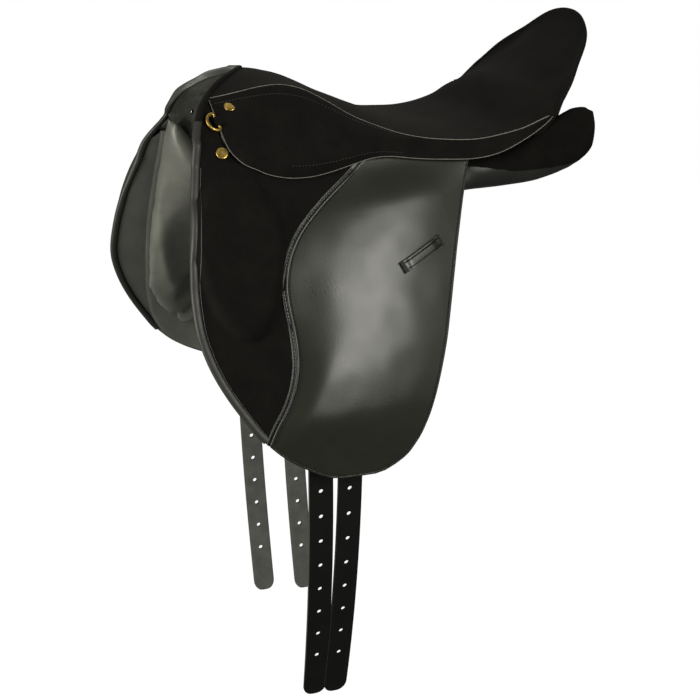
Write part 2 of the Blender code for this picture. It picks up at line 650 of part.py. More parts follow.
def panel_section(x):
    """The cage of the panel at a station: half width and z around the section, from the channel outwards."""
    channel, top, shoulder, shoulder_z, bearing, low = panel_line(x)
    rear = min(max((x - 40) / 20, 0), 1)
    roll = min(max((-170 - x) / 26, 0), 1)
    lining = (PANEL_LINING + (PANEL_KNEE_ROLL - PANEL_LINING) * roll) / MM / WIDE

    def against(z):
        return (sweat_outer(x, z) - SWEAT_FLAP_LEATHER - 3 * GAP) / MM / WIDE

    z1, z2 = shoulder_z + (low - shoulder_z) * 0.3, shoulder_z + (low - shoulder_z) * 0.65
    z3 = bearing + (low - bearing) * 0.28
    hanging = [(against(z1), z1), (against(z2), z2), (against(low), low),
               (against(low) - lining * 0.7, low + 2), (against(z2) - lining, z2),
               (against(z3) - lining * 1.2, z3)]
    resting = [(shoulder + 3.5, z1), (shoulder + 3, z2), (shoulder - 1, low),
               (shoulder - 9, low + (bearing - low) * 0.45), (shoulder - 17, low + (bearing - low) * 0.75),
               (shoulder - 26, bearing + 1)]
    blended = [(a[0] + (b[0] - a[0]) * rear, a[1] + (b[1] - a[1]) * rear) for a, b in zip(hanging, resting)]
    middle = channel + (shoulder - channel) * 0.45
    tucked = min(shoulder, against(shoulder_z))
    corner = (tucked + (shoulder - tucked) * rear, shoulder_z)
    return ([(channel, top), (middle, top + (shoulder_z - top) * 0.35 + 1), corner] + blended
            + [(middle, bearing), (channel + 1, bearing + (top - bearing) * 0.35)])


def build_panel(side, name):
    work = bmesh.new()
    rings = []
    for row in PANEL_LINES:
        x = row[0]
        bend = min(max((-130 - x) / 76, 0), 1)
        ring = []
        for half, z in panel_section(x):
            shift = (float(sweat_outline(z)[0]) + 4 - PANEL_LINES[0][0]) * bend
            ring.append(work.verts.new(drawn(x + shift, side * half, z)))
        rings.append(ring)
    for near, far in zip(rings[:-1], rings[1:]):
        for i in range(len(near)):
            j = (i + 1) % len(near)
            work.faces.new((near[i], near[j], far[j], far[i]))
    for ring in (rings[0], rings[-1]):
        n = len(ring)
        for a, b, c, d in ((0, 1, n - 2, n - 1), (1, 2, n - 3, n - 2), (2, 3, n - 4, n - 3), (3, 4, 6, 7)):
            work.faces.new((ring[a], ring[b], ring[c], ring[d]))
        work.faces.new((ring[4], ring[5], ring[6]))
    obj = new_object("panel_" + name, mesh_of("panel_" + name, work), LEATHER)
    modifier = obj.modifiers.new("soft", "SUBSURF")
    modifier.levels = modifier.render_levels = 1


def build_gullet_lining():
    outer, inner = [], []
    for x in (-160, -130, -95, -60, -25, 15, 55, 95, 130, 158, 178):
        channel, top = panel_line(x)[:2]
        row = [drawn(x, y * (channel + 7), top) + Vector((0, 0, 0.0026)) for y in (-1, -0.5, 0, 0.5, 1)]
        outer.append([p + Vector((0, 0, 0.0012)) for p in row])
        inner.append(row)
    layer("gullet_lining", outer, inner, LINING)


# Girth straps

def strap_middle(x, z):
    """Half width of the middle of the strap's thickness, between the two flaps."""
    return sweat_outer(x / MM, table_z(z)) + 2 * GAP + STRAP_THICKNESS / 2


def strap_places(key):
    """Where a strap hangs, folds and ends, along the saddle, and the height of its tip."""
    row, side = key.split("_")
    front = FRONT_STRAPS[side]
    if row == "front":
        return front
    spaces = REAR_STRAPS[side]
    return (*[x + (STRAP_WIDTH + space) / LONG for x, space in zip(front, spaces[:3])], spaces[3])


def build_strap(key):
    side = -1 if key.endswith("left") else 1
    x_top, x_fold, x_tip, z_tip = strap_places(key)
    z_top = WEB_LOW_Z - GAP
    half_gap = STRAP_FOLD_GAP / 2

    def row(x, half, z, width=STRAP_WIDTH, thickness=STRAP_THICKNESS, lean=0.0):
        return [[Vector((x * LONG + dx, side * (half + dy), z + dy * lean))
                 for dx in (-width / 2, width / 2)] for dy in (thickness / 2, -thickness / 2)]

    rows = []
    for z in [z_top + (STRAP_FOLD_Z + half_gap - z_top) * i / 10 for i in range(11)]:
        x = x_top + (x_fold - x_top) * (z_top - z) / (z_top - STRAP_FOLD_Z)
        rows.append(row(x, strap_middle(x, z), z))
    layer("girth_strap_upper_" + key, [r[0] for r in rows], [r[1] for r in rows], LEATHER)

    base = strap_middle(x_fold, STRAP_FOLD_Z)
    fold = joint("strap_fold_" + key, (x_fold * LONG, side * base, STRAP_FOLD_Z))
    length = STRAP_FOLD_Z - z_tip

    def along(s):
        """Middle of the strap at a distance below the fold."""
        share = s / length
        return x_fold + (x_tip - x_fold) * share, base - STRAP_CURL * share**2, STRAP_FOLD_Z - s

    x, half, z = along(half_gap)
    rows = [row(x, half, z, thickness=STRAP_THICKNESS * 0.5)]
    stations = [0.0024] + [length * i / 12 for i in range(1, 11)]
    stations += [length - d for d in (TIP_ROUNDING, 0.5 * TIP_ROUNDING, 0.18 * TIP_ROUNDING, 0.0)]
    for s in stations:
        from_tip = length - s
        width = STRAP_WIDTH
        if from_tip < TIP_ROUNDING:
            width = STRAP_WIDTH * (0.30 + 0.70 * math.sqrt(1 - (1 - from_tip / TIP_ROUNDING) ** 2))
        x, half, z = along(s)
        rows.append(row(x, half, z, width, lean=-2 * STRAP_CURL * s / length**2))
    strap = layer("girth_strap_" + key, [r[0] for r in rows], [r[1] for r in rows], LEATHER, fold)
    work = bmesh.new()
    for i in range(STRAP_HOLES):
        x, half, z = along(length - FIRST_HOLE - i * STRAP_PITCH)
        spot = Matrix.Translation((x * LONG, side * half, z)) @ Matrix.Rotation(math.pi / 2, 4, "X")
        bmesh.ops.create_cone(work, cap_ends=True, segments=8, radius1=STRAP_HOLE / 2, radius2=STRAP_HOLE / 2,
                              depth=6 * STRAP_THICKNESS, matrix=spot)
    cut(strap, mesh_of(strap.name + ".punch", work))


# Metalwork

def extruded(name, outline, holes, thickness, matrix):
    """A flat outline, with holes, given a thickness on both sides of its plane."""
    curve = bpy.data.curves.new(name, "CURVE")
    curve.dimensions = "2D"
    curve.fill_mode = "BOTH"
    curve.extrude = thickness / 2
    for loop in [outline] + holes:
        spline = curve.splines.new("POLY")
        spline.points.add(len(loop) - 1)
        for point, (x, y) in zip(spline.points, loop):
            point.co = (x, y, 0, 1)
        spline.use_cyclic_u = True
    mesh = baked(name, curve)
    mesh.transform(matrix)
    return mesh


def build_stirrup_bar(side, name):
    """A steel plate against the tree, an arm at its front end, and the bar itself, open at the rear."""
    z_mid = BAR_BOTTOM_Z + BAR_HEIGHT / 2
    x0 = BAR_FRONT_X * LONG
    seat_y = max(sweat_outer(x, z / MM) for x in (-172, -156, -140)
                 for z in (BAR_BOTTOM_Z, BAR_BOTTOM_Z + BAR_HEIGHT)) + GAP
    y1, y2 = seat_y + PLATE_THICKNESS, seat_y + PLATE_THICKNESS + BAR_SLOT
    y3 = y2 + BAR_THICKNESS
    x1, x2 = x0 + BAR_PLATE_LENGTH, x0 + BAR_LENGTH
    arm = x0 + 0.006
    outline = [(x0, seat_y), (x1, seat_y), (x1, y1), (arm, y1), (arm, y2), (x2, y2), (x2, y3),
               (x0 + 0.003, y3), (x0, y3 - 0.002)]
    if side < 0:
        outline = [(x, -y) for x, y in outline]
    mesh = extruded("stirrup_bar_" + name, outline, [], BAR_HEIGHT, Matrix.Translation((0, 0, z_mid)))
    new_object("stirrup_bar_" + name, mesh, STEEL)
    hinge_x = x2 + GAP + 0.0012
    hinge = joint("latch_pin_" + name, (hinge_x, side * (y2 + y3) / 2, z_mid))
    start, end, top, low = x2 + GAP, x2 + GAP + LATCH_LENGTH, BAR_HEIGHT / 2, -BAR_HEIGHT / 2
    outline = [(start, low + 0.0012), (start + 0.0012, low), (end - 0.001, low), (end, low + 0.001),
               (end, top), (start + 0.003, top), (start, 0.0004)]
    stand = Matrix.Translation((0, side * (y2 + y3) / 2, z_mid)) @ Matrix.Rotation(math.pi / 2, 4, "X")
    mesh = extruded("thumb_latch_" + name, outline, [], BAR_THICKNESS, stand)
    new_object("thumb_latch_" + name, mesh, STEEL, hinge)


def ring_frame(side):
    """Where the D-ring lies: X forward along its bow, Y down its bar, at the middle of the bar."""
    forward = Vector((-0.90, side * 0.40, -0.06))
    down = Vector((0.10, side * 0.62, -0.78))
    middle = drawn(-204.6, side * 77.8, 98)
    return frame_matrix(middle, forward, down)


def build_ring(side, name):
    frame = ring_frame(side)
    half = RING_LENGTH / 2 - RING_WIRE
    reach = RING_REACH - 2 * RING_WIRE
    points = [(0, -half * 0.8, 0), (0, 0, 0), (0, half * 0.8, 0)]
    for i in range(9):
        angle = math.pi / 2 - math.pi * i / 8
        points.append((0.0035 + (reach - 0.0035) * math.cos(angle), half * math.sin(angle), 0))
    hinge = joint("ring_pin_" + name, frame.translation)
    path = [frame @ Vector(p) for p in points]
    new_object("d_ring_" + name, curve_mesh("d_ring_" + name, path, RING_WIRE, True), BRASS, hinge)
    bore = RING_WIRE + 0.0003
    wall = bore + CHAPE_LEATHER
    outline = [(-CHAPE_TAIL, -wall), (0, -wall)]
    outline += [(wall * math.sin(a), -wall * math.cos(a)) for a in steps(0.25, math.pi - 0.25, 8)]
    outline += [(0, wall), (-0.003, CHAPE_LEATHER * 0.6), (-CHAPE_TAIL, CHAPE_LEATHER * 0.2)]
    outline = [(x, -side * y) for x, y in outline]
    hole = [(bore * math.cos(a), bore * math.sin(a)) for a in steps(0, 2 * math.pi, 12)[:-1]]
    turn = Matrix.Rotation(-math.pi / 2, 4, "X")
    mesh = extruded("d_ring_chape_" + name, outline, [hole], 0.009, frame @ turn)
    new_object("d_ring_chape_" + name, mesh, LEATHER)


def build_nail(name, at, out):
    """The domed head of a brass nail, its flat underside at the point given."""
    profile = [(0.0, NAIL_DOME), (NAIL_HEAD * 0.45, NAIL_DOME * 0.86), (NAIL_HEAD * 0.8, NAIL_DOME * 0.5),
               (NAIL_HEAD, 0.0)]
    work = bmesh.new()
    verts = [work.verts.new((r, 0, z)) for r, z in profile] + [work.verts.new((0, 0, 0))]
    for a, b in zip(verts[:-1], verts[1:]):
        work.edges.new((a, b))
    bmesh.ops.spin(work, geom=work.verts[:] + work.edges[:], axis=(0, 0, 1), cent=(0, 0, 0), steps=12,
                   angle=2 * math.pi)
    turn = Vector((0, 0, 1)).rotation_difference(out).to_matrix().to_4x4()
    work.transform(Matrix.Translation(at) @ turn)
    new_object(name, mesh_of(name, work, 40), BRASS)


saddle = None
cutters = None


def main():
    global saddle, cutters
    for obj in list(bpy.data.objects):
        bpy.data.objects.remove(obj)
    saddle = collection_of("saddle")
    cutters = collection_of("cutters")
    build_seat()
    build_welt()
    build_head()
    for name in WEB_PATHS:
        build_girth_web(name)
    build_pommel_facing()
    build_cantle_back()
    build_gullet_lining()
    for key in ("front_left", "rear_left", "front_right", "rear_right"):
        build_strap(key)
    for side, name in ((-1, "left"), (1, "right")):
        build_head_side(side, name)
        fold = joint("skirt_fold_" + name, crease_point(0, side))
        build_skirt(side, name, fold)
        outside = flap_inner(-100, FLAP_CREASE_Z / MM) + FLAP_BACKING + GAP + FLAP_FACE
        crease = joint("flap_crease_" + name, (0, side * outside, FLAP_CREASE_Z))
        build_flap(side, name, crease)
        build_knee_pad(side, name, crease)
        build_keeper(side, name, crease)
        build_nailing(side, name)
        build_sweat_flap(side, name)
        build_panel(side, name)
        build_stirrup_bar(side, name)
        build_ring(side, name)
        x, z = FLAP_NAIL
        spot = place(x, flap_inner(x, z) + NAILING_LEATHER + GAP, z, side)
        build_nail("flap_nail_" + name, spot, Vector((0, side * 0.85, 0.53)))
        share = (SKIRT_NAIL - RIM[0][0]) / (SKIRT_CREASE[1][0] - RIM[0][0])
        spot = skirt_rim(SKIRT_NAIL, side).lerp(crease_point(share, side), 0.42)
        out = Vector((0, side * 0.80, 0.60))
        build_nail("skirt_nail_" + name, spot + out * 0.0028, out)


main()
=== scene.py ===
# Looks of an English saddle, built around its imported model. Metres, +X to the cantle, -Y the near side, +Z up.
# The outline tables are in millimetres, as the saddle was drawn.

import json
import math

import bpy
import numpy as np
from mathutils import Matrix, Vector, noise

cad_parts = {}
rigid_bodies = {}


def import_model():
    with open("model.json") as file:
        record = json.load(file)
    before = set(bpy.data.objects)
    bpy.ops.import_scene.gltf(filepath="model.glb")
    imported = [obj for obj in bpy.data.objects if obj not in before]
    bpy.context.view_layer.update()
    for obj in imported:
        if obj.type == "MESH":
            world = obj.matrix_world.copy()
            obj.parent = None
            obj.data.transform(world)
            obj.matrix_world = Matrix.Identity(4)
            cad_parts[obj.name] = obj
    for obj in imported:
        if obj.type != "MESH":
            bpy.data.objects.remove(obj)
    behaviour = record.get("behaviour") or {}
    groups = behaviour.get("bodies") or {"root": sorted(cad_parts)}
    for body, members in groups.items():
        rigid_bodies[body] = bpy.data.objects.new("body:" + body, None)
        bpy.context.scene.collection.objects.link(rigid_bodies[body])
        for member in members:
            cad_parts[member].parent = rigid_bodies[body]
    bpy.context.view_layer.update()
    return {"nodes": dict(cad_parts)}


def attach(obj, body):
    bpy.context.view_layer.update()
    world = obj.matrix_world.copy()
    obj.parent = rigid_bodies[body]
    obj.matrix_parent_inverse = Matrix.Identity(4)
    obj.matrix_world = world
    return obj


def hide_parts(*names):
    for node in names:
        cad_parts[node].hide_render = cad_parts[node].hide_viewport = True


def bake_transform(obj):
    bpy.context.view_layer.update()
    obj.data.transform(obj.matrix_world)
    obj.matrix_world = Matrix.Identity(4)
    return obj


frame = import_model()
mm = 0.001
sides = (("left", -1), ("right", 1))
print("frame loaded:", len(frame["nodes"]), "nodes")


# Small tools

def deselectAll():
    for obj in bpy.context.selected_objects:
        obj.select_set(False)


def makeActive(obj):
    deselectAll()
    obj.select_set(True)
    bpy.context.view_layer.objects.active = obj


def smooth(rows):
    # A smooth curve through the rows of a table, read by its first column
    table = np.array(sorted(rows), float)
    x, y = table[:, 0], table[:, 1:]
    slope = np.gradient(y, x, axis=0)

    def value(at):
        at = min(max(at, x[0]), x[-1])
        i = min(int(np.searchsorted(x, at, side="right")) - 1, len(x) - 2)
        h = x[i + 1] - x[i]
        t = (at - x[i]) / h
        return ((2 * t**3 - 3 * t**2 + 1) * y[i] + (t**3 - 2 * t**2 + t) * h * slope[i]
                + (3 * t**2 - 2 * t**3) * y[i + 1] + (t**3 - t**2) * h * slope[i + 1])

    return value


def numbered(rows):
    return smooth([(i / (len(rows) - 1), *row) for i, row in enumerate(rows)])


def clamp(value, low=0.0, high=1.0):
    return min(max(value, low), high)


def ease(value):
    value = clamp(value)
    return value * value * (3 - 2 * value)


def uneven(point, size, seed=0.0):
    # Soft noise from -1 to 1, with lumps of this size in metres
    return noise.noise(Vector(point) / size + Vector((seed, seed * 0.7, -seed)))


def applyModifier(obj, modifier):
    makeActive(obj)
    bpy.ops.object.modifier_apply(modifier=modifier.name)


def warpedGrid(name, columns, rows, pointOf, away=None):
    # A grid primitive whose vertices are moved to pointOf(u, v), facing the way that away says
    deselectAll()
    bpy.ops.mesh.primitive_grid_add(x_subdivisions=columns, y_subdivisions=rows, size=2)
    obj = bpy.context.object
    obj.name = obj.data.name = name
    for vertex in obj.data.vertices:
        vertex.co = pointOf((vertex.co.x + 1) / 2, (vertex.co.y + 1) / 2)
    if away is not None:
        obj.data.update()
        facing = sum(face.area * face.normal.dot(Vector(away)) for face in obj.data.polygons)
        if facing < 0:
            obj.data.flip_normals()
    return obj


def closeUp(obj):
    # Welds what meets and turns the faces outwards
    makeActive(obj)
    bpy.ops.object.mode_set(mode="EDIT")
    bpy.ops.mesh.select_all(action="SELECT")
    bpy.ops.mesh.remove_doubles(threshold=0.01 * mm)
    bpy.ops.mesh.normals_make_consistent(inside=False)
    bpy.ops.object.mode_set(mode="OBJECT")


def smoothShade(obj, angle=40):
    makeActive(obj)
    bpy.ops.object.shade_smooth_by_angle(angle=math.radians(angle))


def thicken(obj, thickness, edge=0.4 * mm):
    # A leather sheet from its outer face: material 2 is the back and material 3 the cut edge
    for _ in range(3):
        obj.data.materials.append(None)
    solid = obj.modifiers.new("thickness", "SOLIDIFY")
    solid.thickness = thickness
    solid.offset = -1
    solid.use_even_offset = True
    solid.thickness_clamp = 1.0
    solid.material_offset = 1
    solid.material_offset_rim = 2
    applyModifier(obj, solid)
    if edge > 0:
        bevel = obj.modifiers.new("edge", "BEVEL")
        bevel.width = edge
        bevel.segments = 2
        bevel.limit_method = "ANGLE"
        bevel.angle_limit = math.radians(50)
        bevel.material = 2
        applyModifier(obj, bevel)
    smoothShade(obj, 55)


def dress(obj, *materials):
    # Fills the slots that are there before it adds new ones, so the faces keep theirs
    for i, material in enumerate(materials):
        if i < len(obj.data.materials):
            obj.data.materials[i] = material
        else:
            obj.data.materials.append(material)


def settle(obj, body, slot, *nodes):
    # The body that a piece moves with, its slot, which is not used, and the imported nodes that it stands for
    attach(obj, body)
    if nodes:
        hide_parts(*nodes)


def cutPiece(name, columns, rows, pointOf, away, thickness, materials, edge=0.4 * mm):
    # A piece cut from a hide: its outer face, then its thickness, then the finish of face, back and edge
    obj = warpedGrid(name, columns, rows, pointOf, away)
    thicken(obj, thickness, edge)
    dress(obj, *materials)
    return obj


def tube(name, points, radius, closed=False, sides=3, material=None):
    # A round cord through the points, made a mesh
    curve = bpy.data.curves.new(name, "CURVE")
    curve.dimensions = "3D"
    curve.bevel_resolution = sides
    curve.use_fill_caps = not closed
    spline = curve.splines.new("POLY")
    spline.points.add(len(points) - 1)
    radii = radius if hasattr(radius, "__len__") else [radius] * len(points)
    curve.bevel_depth = max(radii)
    for at, point, r in zip(spline.points, points, radii):
        at.co = (*point, 1)
        at.radius = r / max(radii)
    spline.use_cyclic_u = closed
    obj = bpy.data.objects.new(name, curve)
    bpy.context.scene.collection.objects.link(obj)
    makeActive(obj)
    bpy.ops.object.convert(target="MESH")
    obj = bpy.context.object
    closeUp(obj)
    smoothShade(obj, 60)
    if material:
        dress(obj, material)
    return obj


def evenly(points, count=None, pitch=None):
    # The points of a line spaced anew at even steps
    line = np.array([tuple(p) for p in points], float)
    run = np.concatenate([[0], np.cumsum(np.linalg.norm(np.diff(line, axis=0), axis=1))])
    if pitch:
        count = max(int(run[-1] / pitch), 2)
    at = np.linspace(0, run[-1], count + 1)
    return [Vector([np.interp(a, run, line[:, k]) for k in range(3)]) for a in at]


def strapAlong(name, path, outward, halfWidth, profile, material):
    # A strip that follows a path: profile is a closed list of (across, out) in metres
    path = [Vector(p) for p in path]
    count = len(profile)

    def pointOf(u, v):
        i = min(int(round(v * (len(path) - 1))), len(path) - 1)
        along = (path[min(i + 1, len(path) - 1)] - path[max(i - 1, 0)]).normalized()
        out = outward(path[i], v)
        across = along.cross(out).normalized()
        out = across.cross(along).normalized()
        a, b = profile[int(round(u * count)) % count]
        return path[i] + across * a * halfWidth(v) + out * b

    obj = warpedGrid(name, count, len(path) - 1, pointOf)
    makeActive(obj)
    bpy.ops.object.mode_set(mode="EDIT")
    bpy.ops.mesh.select_all(action="SELECT")
    bpy.ops.mesh.remove_doubles(threshold=0.001 * mm)
    bpy.ops.mesh.select_all(action="DESELECT")
    bpy.ops.mesh.select_non_manifold(extend=False, use_wire=False, use_multi_face=False,
                                     use_non_contiguous=False, use_verts=False)
    bpy.ops.mesh.edge_face_add()      # closes both ends
    bpy.ops.mesh.select_all(action="SELECT")
    bpy.ops.mesh.normals_make_consistent(inside=False)
    bpy.ops.object.mode_set(mode="OBJECT")
    smoothShade(obj, 60)
    dress(obj, material)
    return obj


def joined(name, objs):
    deselectAll()
    for obj in objs:
        obj.select_set(True)
    bpy.context.view_layer.objects.active = objs[0]
    bpy.ops.object.join()
    obj = bpy.context.object
    obj.name = obj.data.name = name
    return obj


stitch = {"length": 2.7 * mm, "width": 1.05 * mm, "height": 0.55 * mm, "pitch": 3.3 * mm}


def outwards(side, up=0.3):
    return lambda p, v=0: Vector((0, side, up)).normalized()


def stitchRow(name, points, normalOf, material, pitch=None):
    # Single stitches along a line: one is modelled, then copied at every step
    points = evenly(points, pitch=pitch or stitch["pitch"])
    deselectAll()
    bpy.ops.mesh.primitive_ico_sphere_add(subdivisions=1, radius=1)
    first = bpy.context.object
    first.data.transform(Matrix.Diagonal((stitch["length"] / 2, stitch["width"] / 2, stitch["height"], 1)))
    copies = []
    for a, b in zip(points[:-1], points[1:]):
        middle, along = (a + b) / 2, (b - a).normalized()
        out = normalOf(middle)
        across = out.cross(along).normalized()
        out = along.cross(across)
        copy = first.copy()
        copy.data = first.data.copy()
        turn = Matrix((along, across, out)).transposed().to_4x4()
        copy.data.transform(Matrix.Translation(middle) @ turn)
        bpy.context.scene.collection.objects.link(copy)
        copies.append(copy)
    bpy.data.objects.remove(first)
    row = joined(name, copies)
    row.data.shade_smooth()
    dress(row, material)
    return row


# Materials

def colour(hexValue):
    # An sRGB hex colour as linear values
    parts = [int(hexValue[i:i + 2], 16) / 255 for i in (1, 3, 5)]
    return (*[p / 12.92 if p <= 0.04045 else ((p + 0.055) / 1.055) ** 2.4 for p in parts], 1.0)


def addNode(tree, kind, values=None, links=None, **settings):
    node = tree.nodes.new(kind)
    for key, value in settings.items():
        setattr(node, key, value)
    for key, value in (values or {}).items():
        node.inputs[key].default_value = value
    for key, source in (links or {}).items():
        tree.links.new(source, node.inputs[key])
    return node


def startMaterial(name, shader):
    material = bpy.data.materials.new(name)
    material.use_nodes = True
    tree = material.node_tree
    bsdf = tree.nodes["Principled BSDF"]
    for key, value in shader.items():
        bsdf.inputs[key].default_value = value
    place = addNode(tree, "ShaderNodeTexCoord")
    return material, tree, bsdf, place.outputs["Object"]


def perMetre(sizeMm):
    # Texture scale for lumps of a real size in millimetres
    return 1000 / sizeMm


def mixInputs(tree, factor, a, b):
    # Mix node sockets are found by type, because the three kinds share their names
    node = addNode(tree, "ShaderNodeMix", data_type="RGBA")
    tree.links.new(factor, node.inputs[0])
    for socket, value in ((node.inputs[6], a), (node.inputs[7], b)):
        if isinstance(value, str):
            socket.default_value = colour(value)
        else:
            tree.links.new(value, socket)
    return node.outputs[2]


def noiseAt(tree, place, sizeMm, detail=3.0, roughness=0.55, stretch=None):
    if stretch:
        place = addNode(tree, "ShaderNodeMapping", {"Scale": stretch}, {"Vector": place}).outputs["Vector"]
    return addNode(tree, "ShaderNodeTexNoise", {"Scale": perMetre(sizeMm), "Detail": detail,
                   "Roughness": roughness}, {"Vector": place}).outputs["Fac"]


def ranged(tree, value, fromLow, fromHigh, toLow, toHigh):
    return addNode(tree, "ShaderNodeMapRange", {"From Min": fromLow, "From Max": fromHigh, "To Min": toLow,
                   "To Max": toHigh}, {"Value": value}).outputs["Result"]


def arithmetic(tree, operation, a, b):
    node = addNode(tree, "ShaderNodeMath", operation=operation)
    for socket, value in ((node.inputs[0], a), (node.inputs[1], b)):
        if isinstance(value, (int, float)):
            socket.default_value = value
        else:
            tree.links.new(value, socket)
    return node.outputs[0]


def bumped(tree, bsdf, height, depthMm, strength=1.0):
    bump = addNode(tree, "ShaderNodeBump", {"Strength": strength, "Distance": depthMm * mm}, {"Height": height})
    tree.links.new(bump.outputs["Normal"], bsdf.inputs["Normal"])


# Suede: the split side of a cowhide, buffed to a short nap that swallows light and shows as soft clouds
suedeLook = {"deep": "#100f0e", "raised": "#171614", "nap": 0.9, "clouds": 22, "rough": 0.92, "sheen": 0.06}


def suedeMaterial():
    look = suedeLook
    material, tree, bsdf, place = startMaterial("cowhideSuede", {
        "Roughness": look["rough"], "Specular IOR Level": 0.08, "Sheen Weight": look["sheen"],
        "Sheen Roughness": 0.45, "Sheen Tint": colour("#8d8a84")})
    clouds = noiseAt(tree, place, look["clouds"], 4, 0.6)
    nap = noiseAt(tree, place, look["nap"] * 2, 3, 0.7)
    both = arithmetic(tree, "ADD", arithmetic(tree, "MULTIPLY", clouds, 0.7),
                      arithmetic(tree, "MULTIPLY", nap, 0.3))
    share = ranged(tree, both, 0.35, 0.68, 0, 1)
    tree.links.new(mixInputs(tree, share, look["deep"], look["raised"]), bsdf.inputs["Base Color"])
    fibres = noiseAt(tree, place, look["nap"], 2, 0.8)
    bumped(tree, bsdf, arithmetic(tree, "ADD", arithmetic(tree, "MULTIPLY", fibres, 0.6), nap), 0.35, 0.5)
    return material


# Smooth saddle leather: vegetable tanned cowhide, dyed black through and waxed, with a fine closed grain
leatherLook = {"deep": "#1a1b14", "raised": "#23251b", "grain": 1.6, "clouds": 35, "rough": (0.27, 0.33),
               "bump": 0.06}


def leatherMaterial(name="waxedSaddleLeather", look=leatherLook, specular=0.5):
    material, tree, bsdf, place = startMaterial(name, {"Specular IOR Level": specular, "IOR": 1.5})
    clouds = noiseAt(tree, place, look["clouds"], 5, 0.55)
    tree.links.new(mixInputs(tree, ranged(tree, clouds, 0.3, 0.7, 0, 1), look["deep"], look["raised"]),
                   bsdf.inputs["Base Color"])
    tree.links.new(ranged(tree, clouds, 0.3, 0.7, look["rough"][1], look["rough"][0]),
                   bsdf.inputs["Roughness"])
    cells = addNode(tree, "ShaderNodeTexVoronoi", {"Scale": perMetre(look["grain"]), "Smoothness": 1.0},
                    {"Vector": place}, feature="SMOOTH_F1").outputs["Distance"]
    pores = noiseAt(tree, place, look["grain"] * 0.6, 2, 0.6)
    bumped(tree, bsdf, arithmetic(tree, "ADD", cells, arithmetic(tree, "MULTIPLY", pores, 0.5)),
           look["bump"], 0.6)
    return material


def edgeMaterial(name, low, high, rough):
    # Cut leather edge: raw fibres, rubbed smooth, paler than the dyed face
    material, tree, bsdf, place = startMaterial(name, {"Roughness": rough, "Specular IOR Level": 0.4})
    streaks = noiseAt(tree, place, 1.2, 3, 0.6)
    tree.links.new(mixInputs(tree, ranged(tree, streaks, 0.35, 0.65, 0, 1), low, high),
                   bsdf.inputs["Base Color"])
    bumped(tree, bsdf, streaks, 0.15, 0.4)
    return material


def metalMaterial(name, low, high, rough):
    # Bare metal: colour from the metal itself, with soft marks of use
    grainMm, depthMm = 0.8, 0.02
    material, tree, bsdf, place = startMaterial(name, {"Metallic": 1.0})
    marks = noiseAt(tree, place, grainMm * 4, 4, 0.6)
    tree.links.new(mixInputs(tree, ranged(tree, marks, 0.3, 0.7, 0, 1), low, high), bsdf.inputs["Base Color"])
    tree.links.new(ranged(tree, marks, 0.3, 0.7, rough[0], rough[1]), bsdf.inputs["Roughness"])
    bumped(tree, bsdf, noiseAt(tree, place, grainMm, 2, 0.5), depthMm, 0.5)
    return material


def woodMaterial(name):
    # Laminated beech: pale, with long fine fibres along the tree
    material, tree, bsdf, place = startMaterial(name, {"Roughness": 0.6})
    fibres = noiseAt(tree, place, 2.2, 4, 0.6, stretch=(0.08, 1, 1))
    tree.links.new(mixInputs(tree, ranged(tree, fibres, 0.35, 0.65, 0, 1), "#a67c4f", "#c9a372"),
                   bsdf.inputs["Base Color"])
    bumped(tree, bsdf, fibres, 0.1, 0.5)
    return material


def webbingMaterial(name):
    # Woven linen webbing: a plain weave with threads 1.4 mm apart
    material, tree, bsdf, place = startMaterial(name, {"Roughness": 0.9})
    split = addNode(tree, "ShaderNodeSeparateXYZ", links={"Vector": place})
    waves = [arithmetic(tree, "SINE", arithmetic(tree, "MULTIPLY", split.outputs[axis],
             2 * math.pi / (1.4 * mm)), 0) for axis in ("X", "Y")]
    weave = arithmetic(tree, "MULTIPLY", waves[0], waves[1])
    tree.links.new(mixInputs(tree, ranged(tree, weave, -1, 1, 0, 1), "#8d8064", "#c2b692"),
                   bsdf.inputs["Base Color"])
    bumped(tree, bsdf, weave, 0.25, 0.6)
    return material


def foamMaterial(name):
    # Latex foam: cream, open pored
    material, tree, bsdf, place = startMaterial(name, {"Roughness": 0.95})
    pores = addNode(tree, "ShaderNodeTexVoronoi", {"Scale": perMetre(1.5)}, {"Vector": place}).outputs["Distance"]
    tree.links.new(mixInputs(tree, ranged(tree, pores, 0.1, 0.6, 0, 1), "#c9b98c", "#e2d6ae"),
                   bsdf.inputs["Base Color"])
    bumped(tree, bsdf, pores, 0.4, 0.6)
    return material


def plainMaterial(name, hexValue, rough):
    material, tree, bsdf, place = startMaterial(name, {"Roughness": rough})
    speckle = noiseAt(tree, place, 0.8, 2, 0.6)
    tree.links.new(mixInputs(tree, speckle, hexValue, "#121211"), bsdf.inputs["Base Color"])
    return material


suede = suedeMaterial()
leather = leatherMaterial()
# The flesh side is painted a light grey, well past its own tone: painted light on the flaps' inner faces, which the
# lamps hardly reach
backLeather = leatherMaterial("fleshSideWithPaintedLight", {"deep": "#62645f", "raised": "#70726c", "grain": 1.2,
                              "clouds": 30, "rough": (0.5, 0.62), "bump": 0.12}, 0.4)
facingLeather = leatherMaterial("creasedLiningLeather", {"deep": "#161713", "raised": "#1f201b", "grain": 2.0,
                                "clouds": 12, "rough": (0.56, 0.68), "bump": 0.15}, 0.2)
strapLeather = leatherMaterial("bridleLeather", {"deep": "#0a0a0a", "raised": "#121211", "grain": 1.5,
                               "clouds": 18, "rough": (0.42, 0.55), "bump": 0.08}, 0.22)
strapBack = leatherMaterial("bridleFleshSide", {"deep": "#454643", "raised": "#535450", "grain": 1.2,
                            "clouds": 14, "rough": (0.6, 0.75), "bump": 0.15}, 0.35)
bandLeather = leatherMaterial("rolledLeatherBand", {"deep": "#161713", "raised": "#1f201b", "grain": 1.2,
                              "clouds": 10, "rough": (0.28, 0.38), "bump": 0.06}, 0.6)
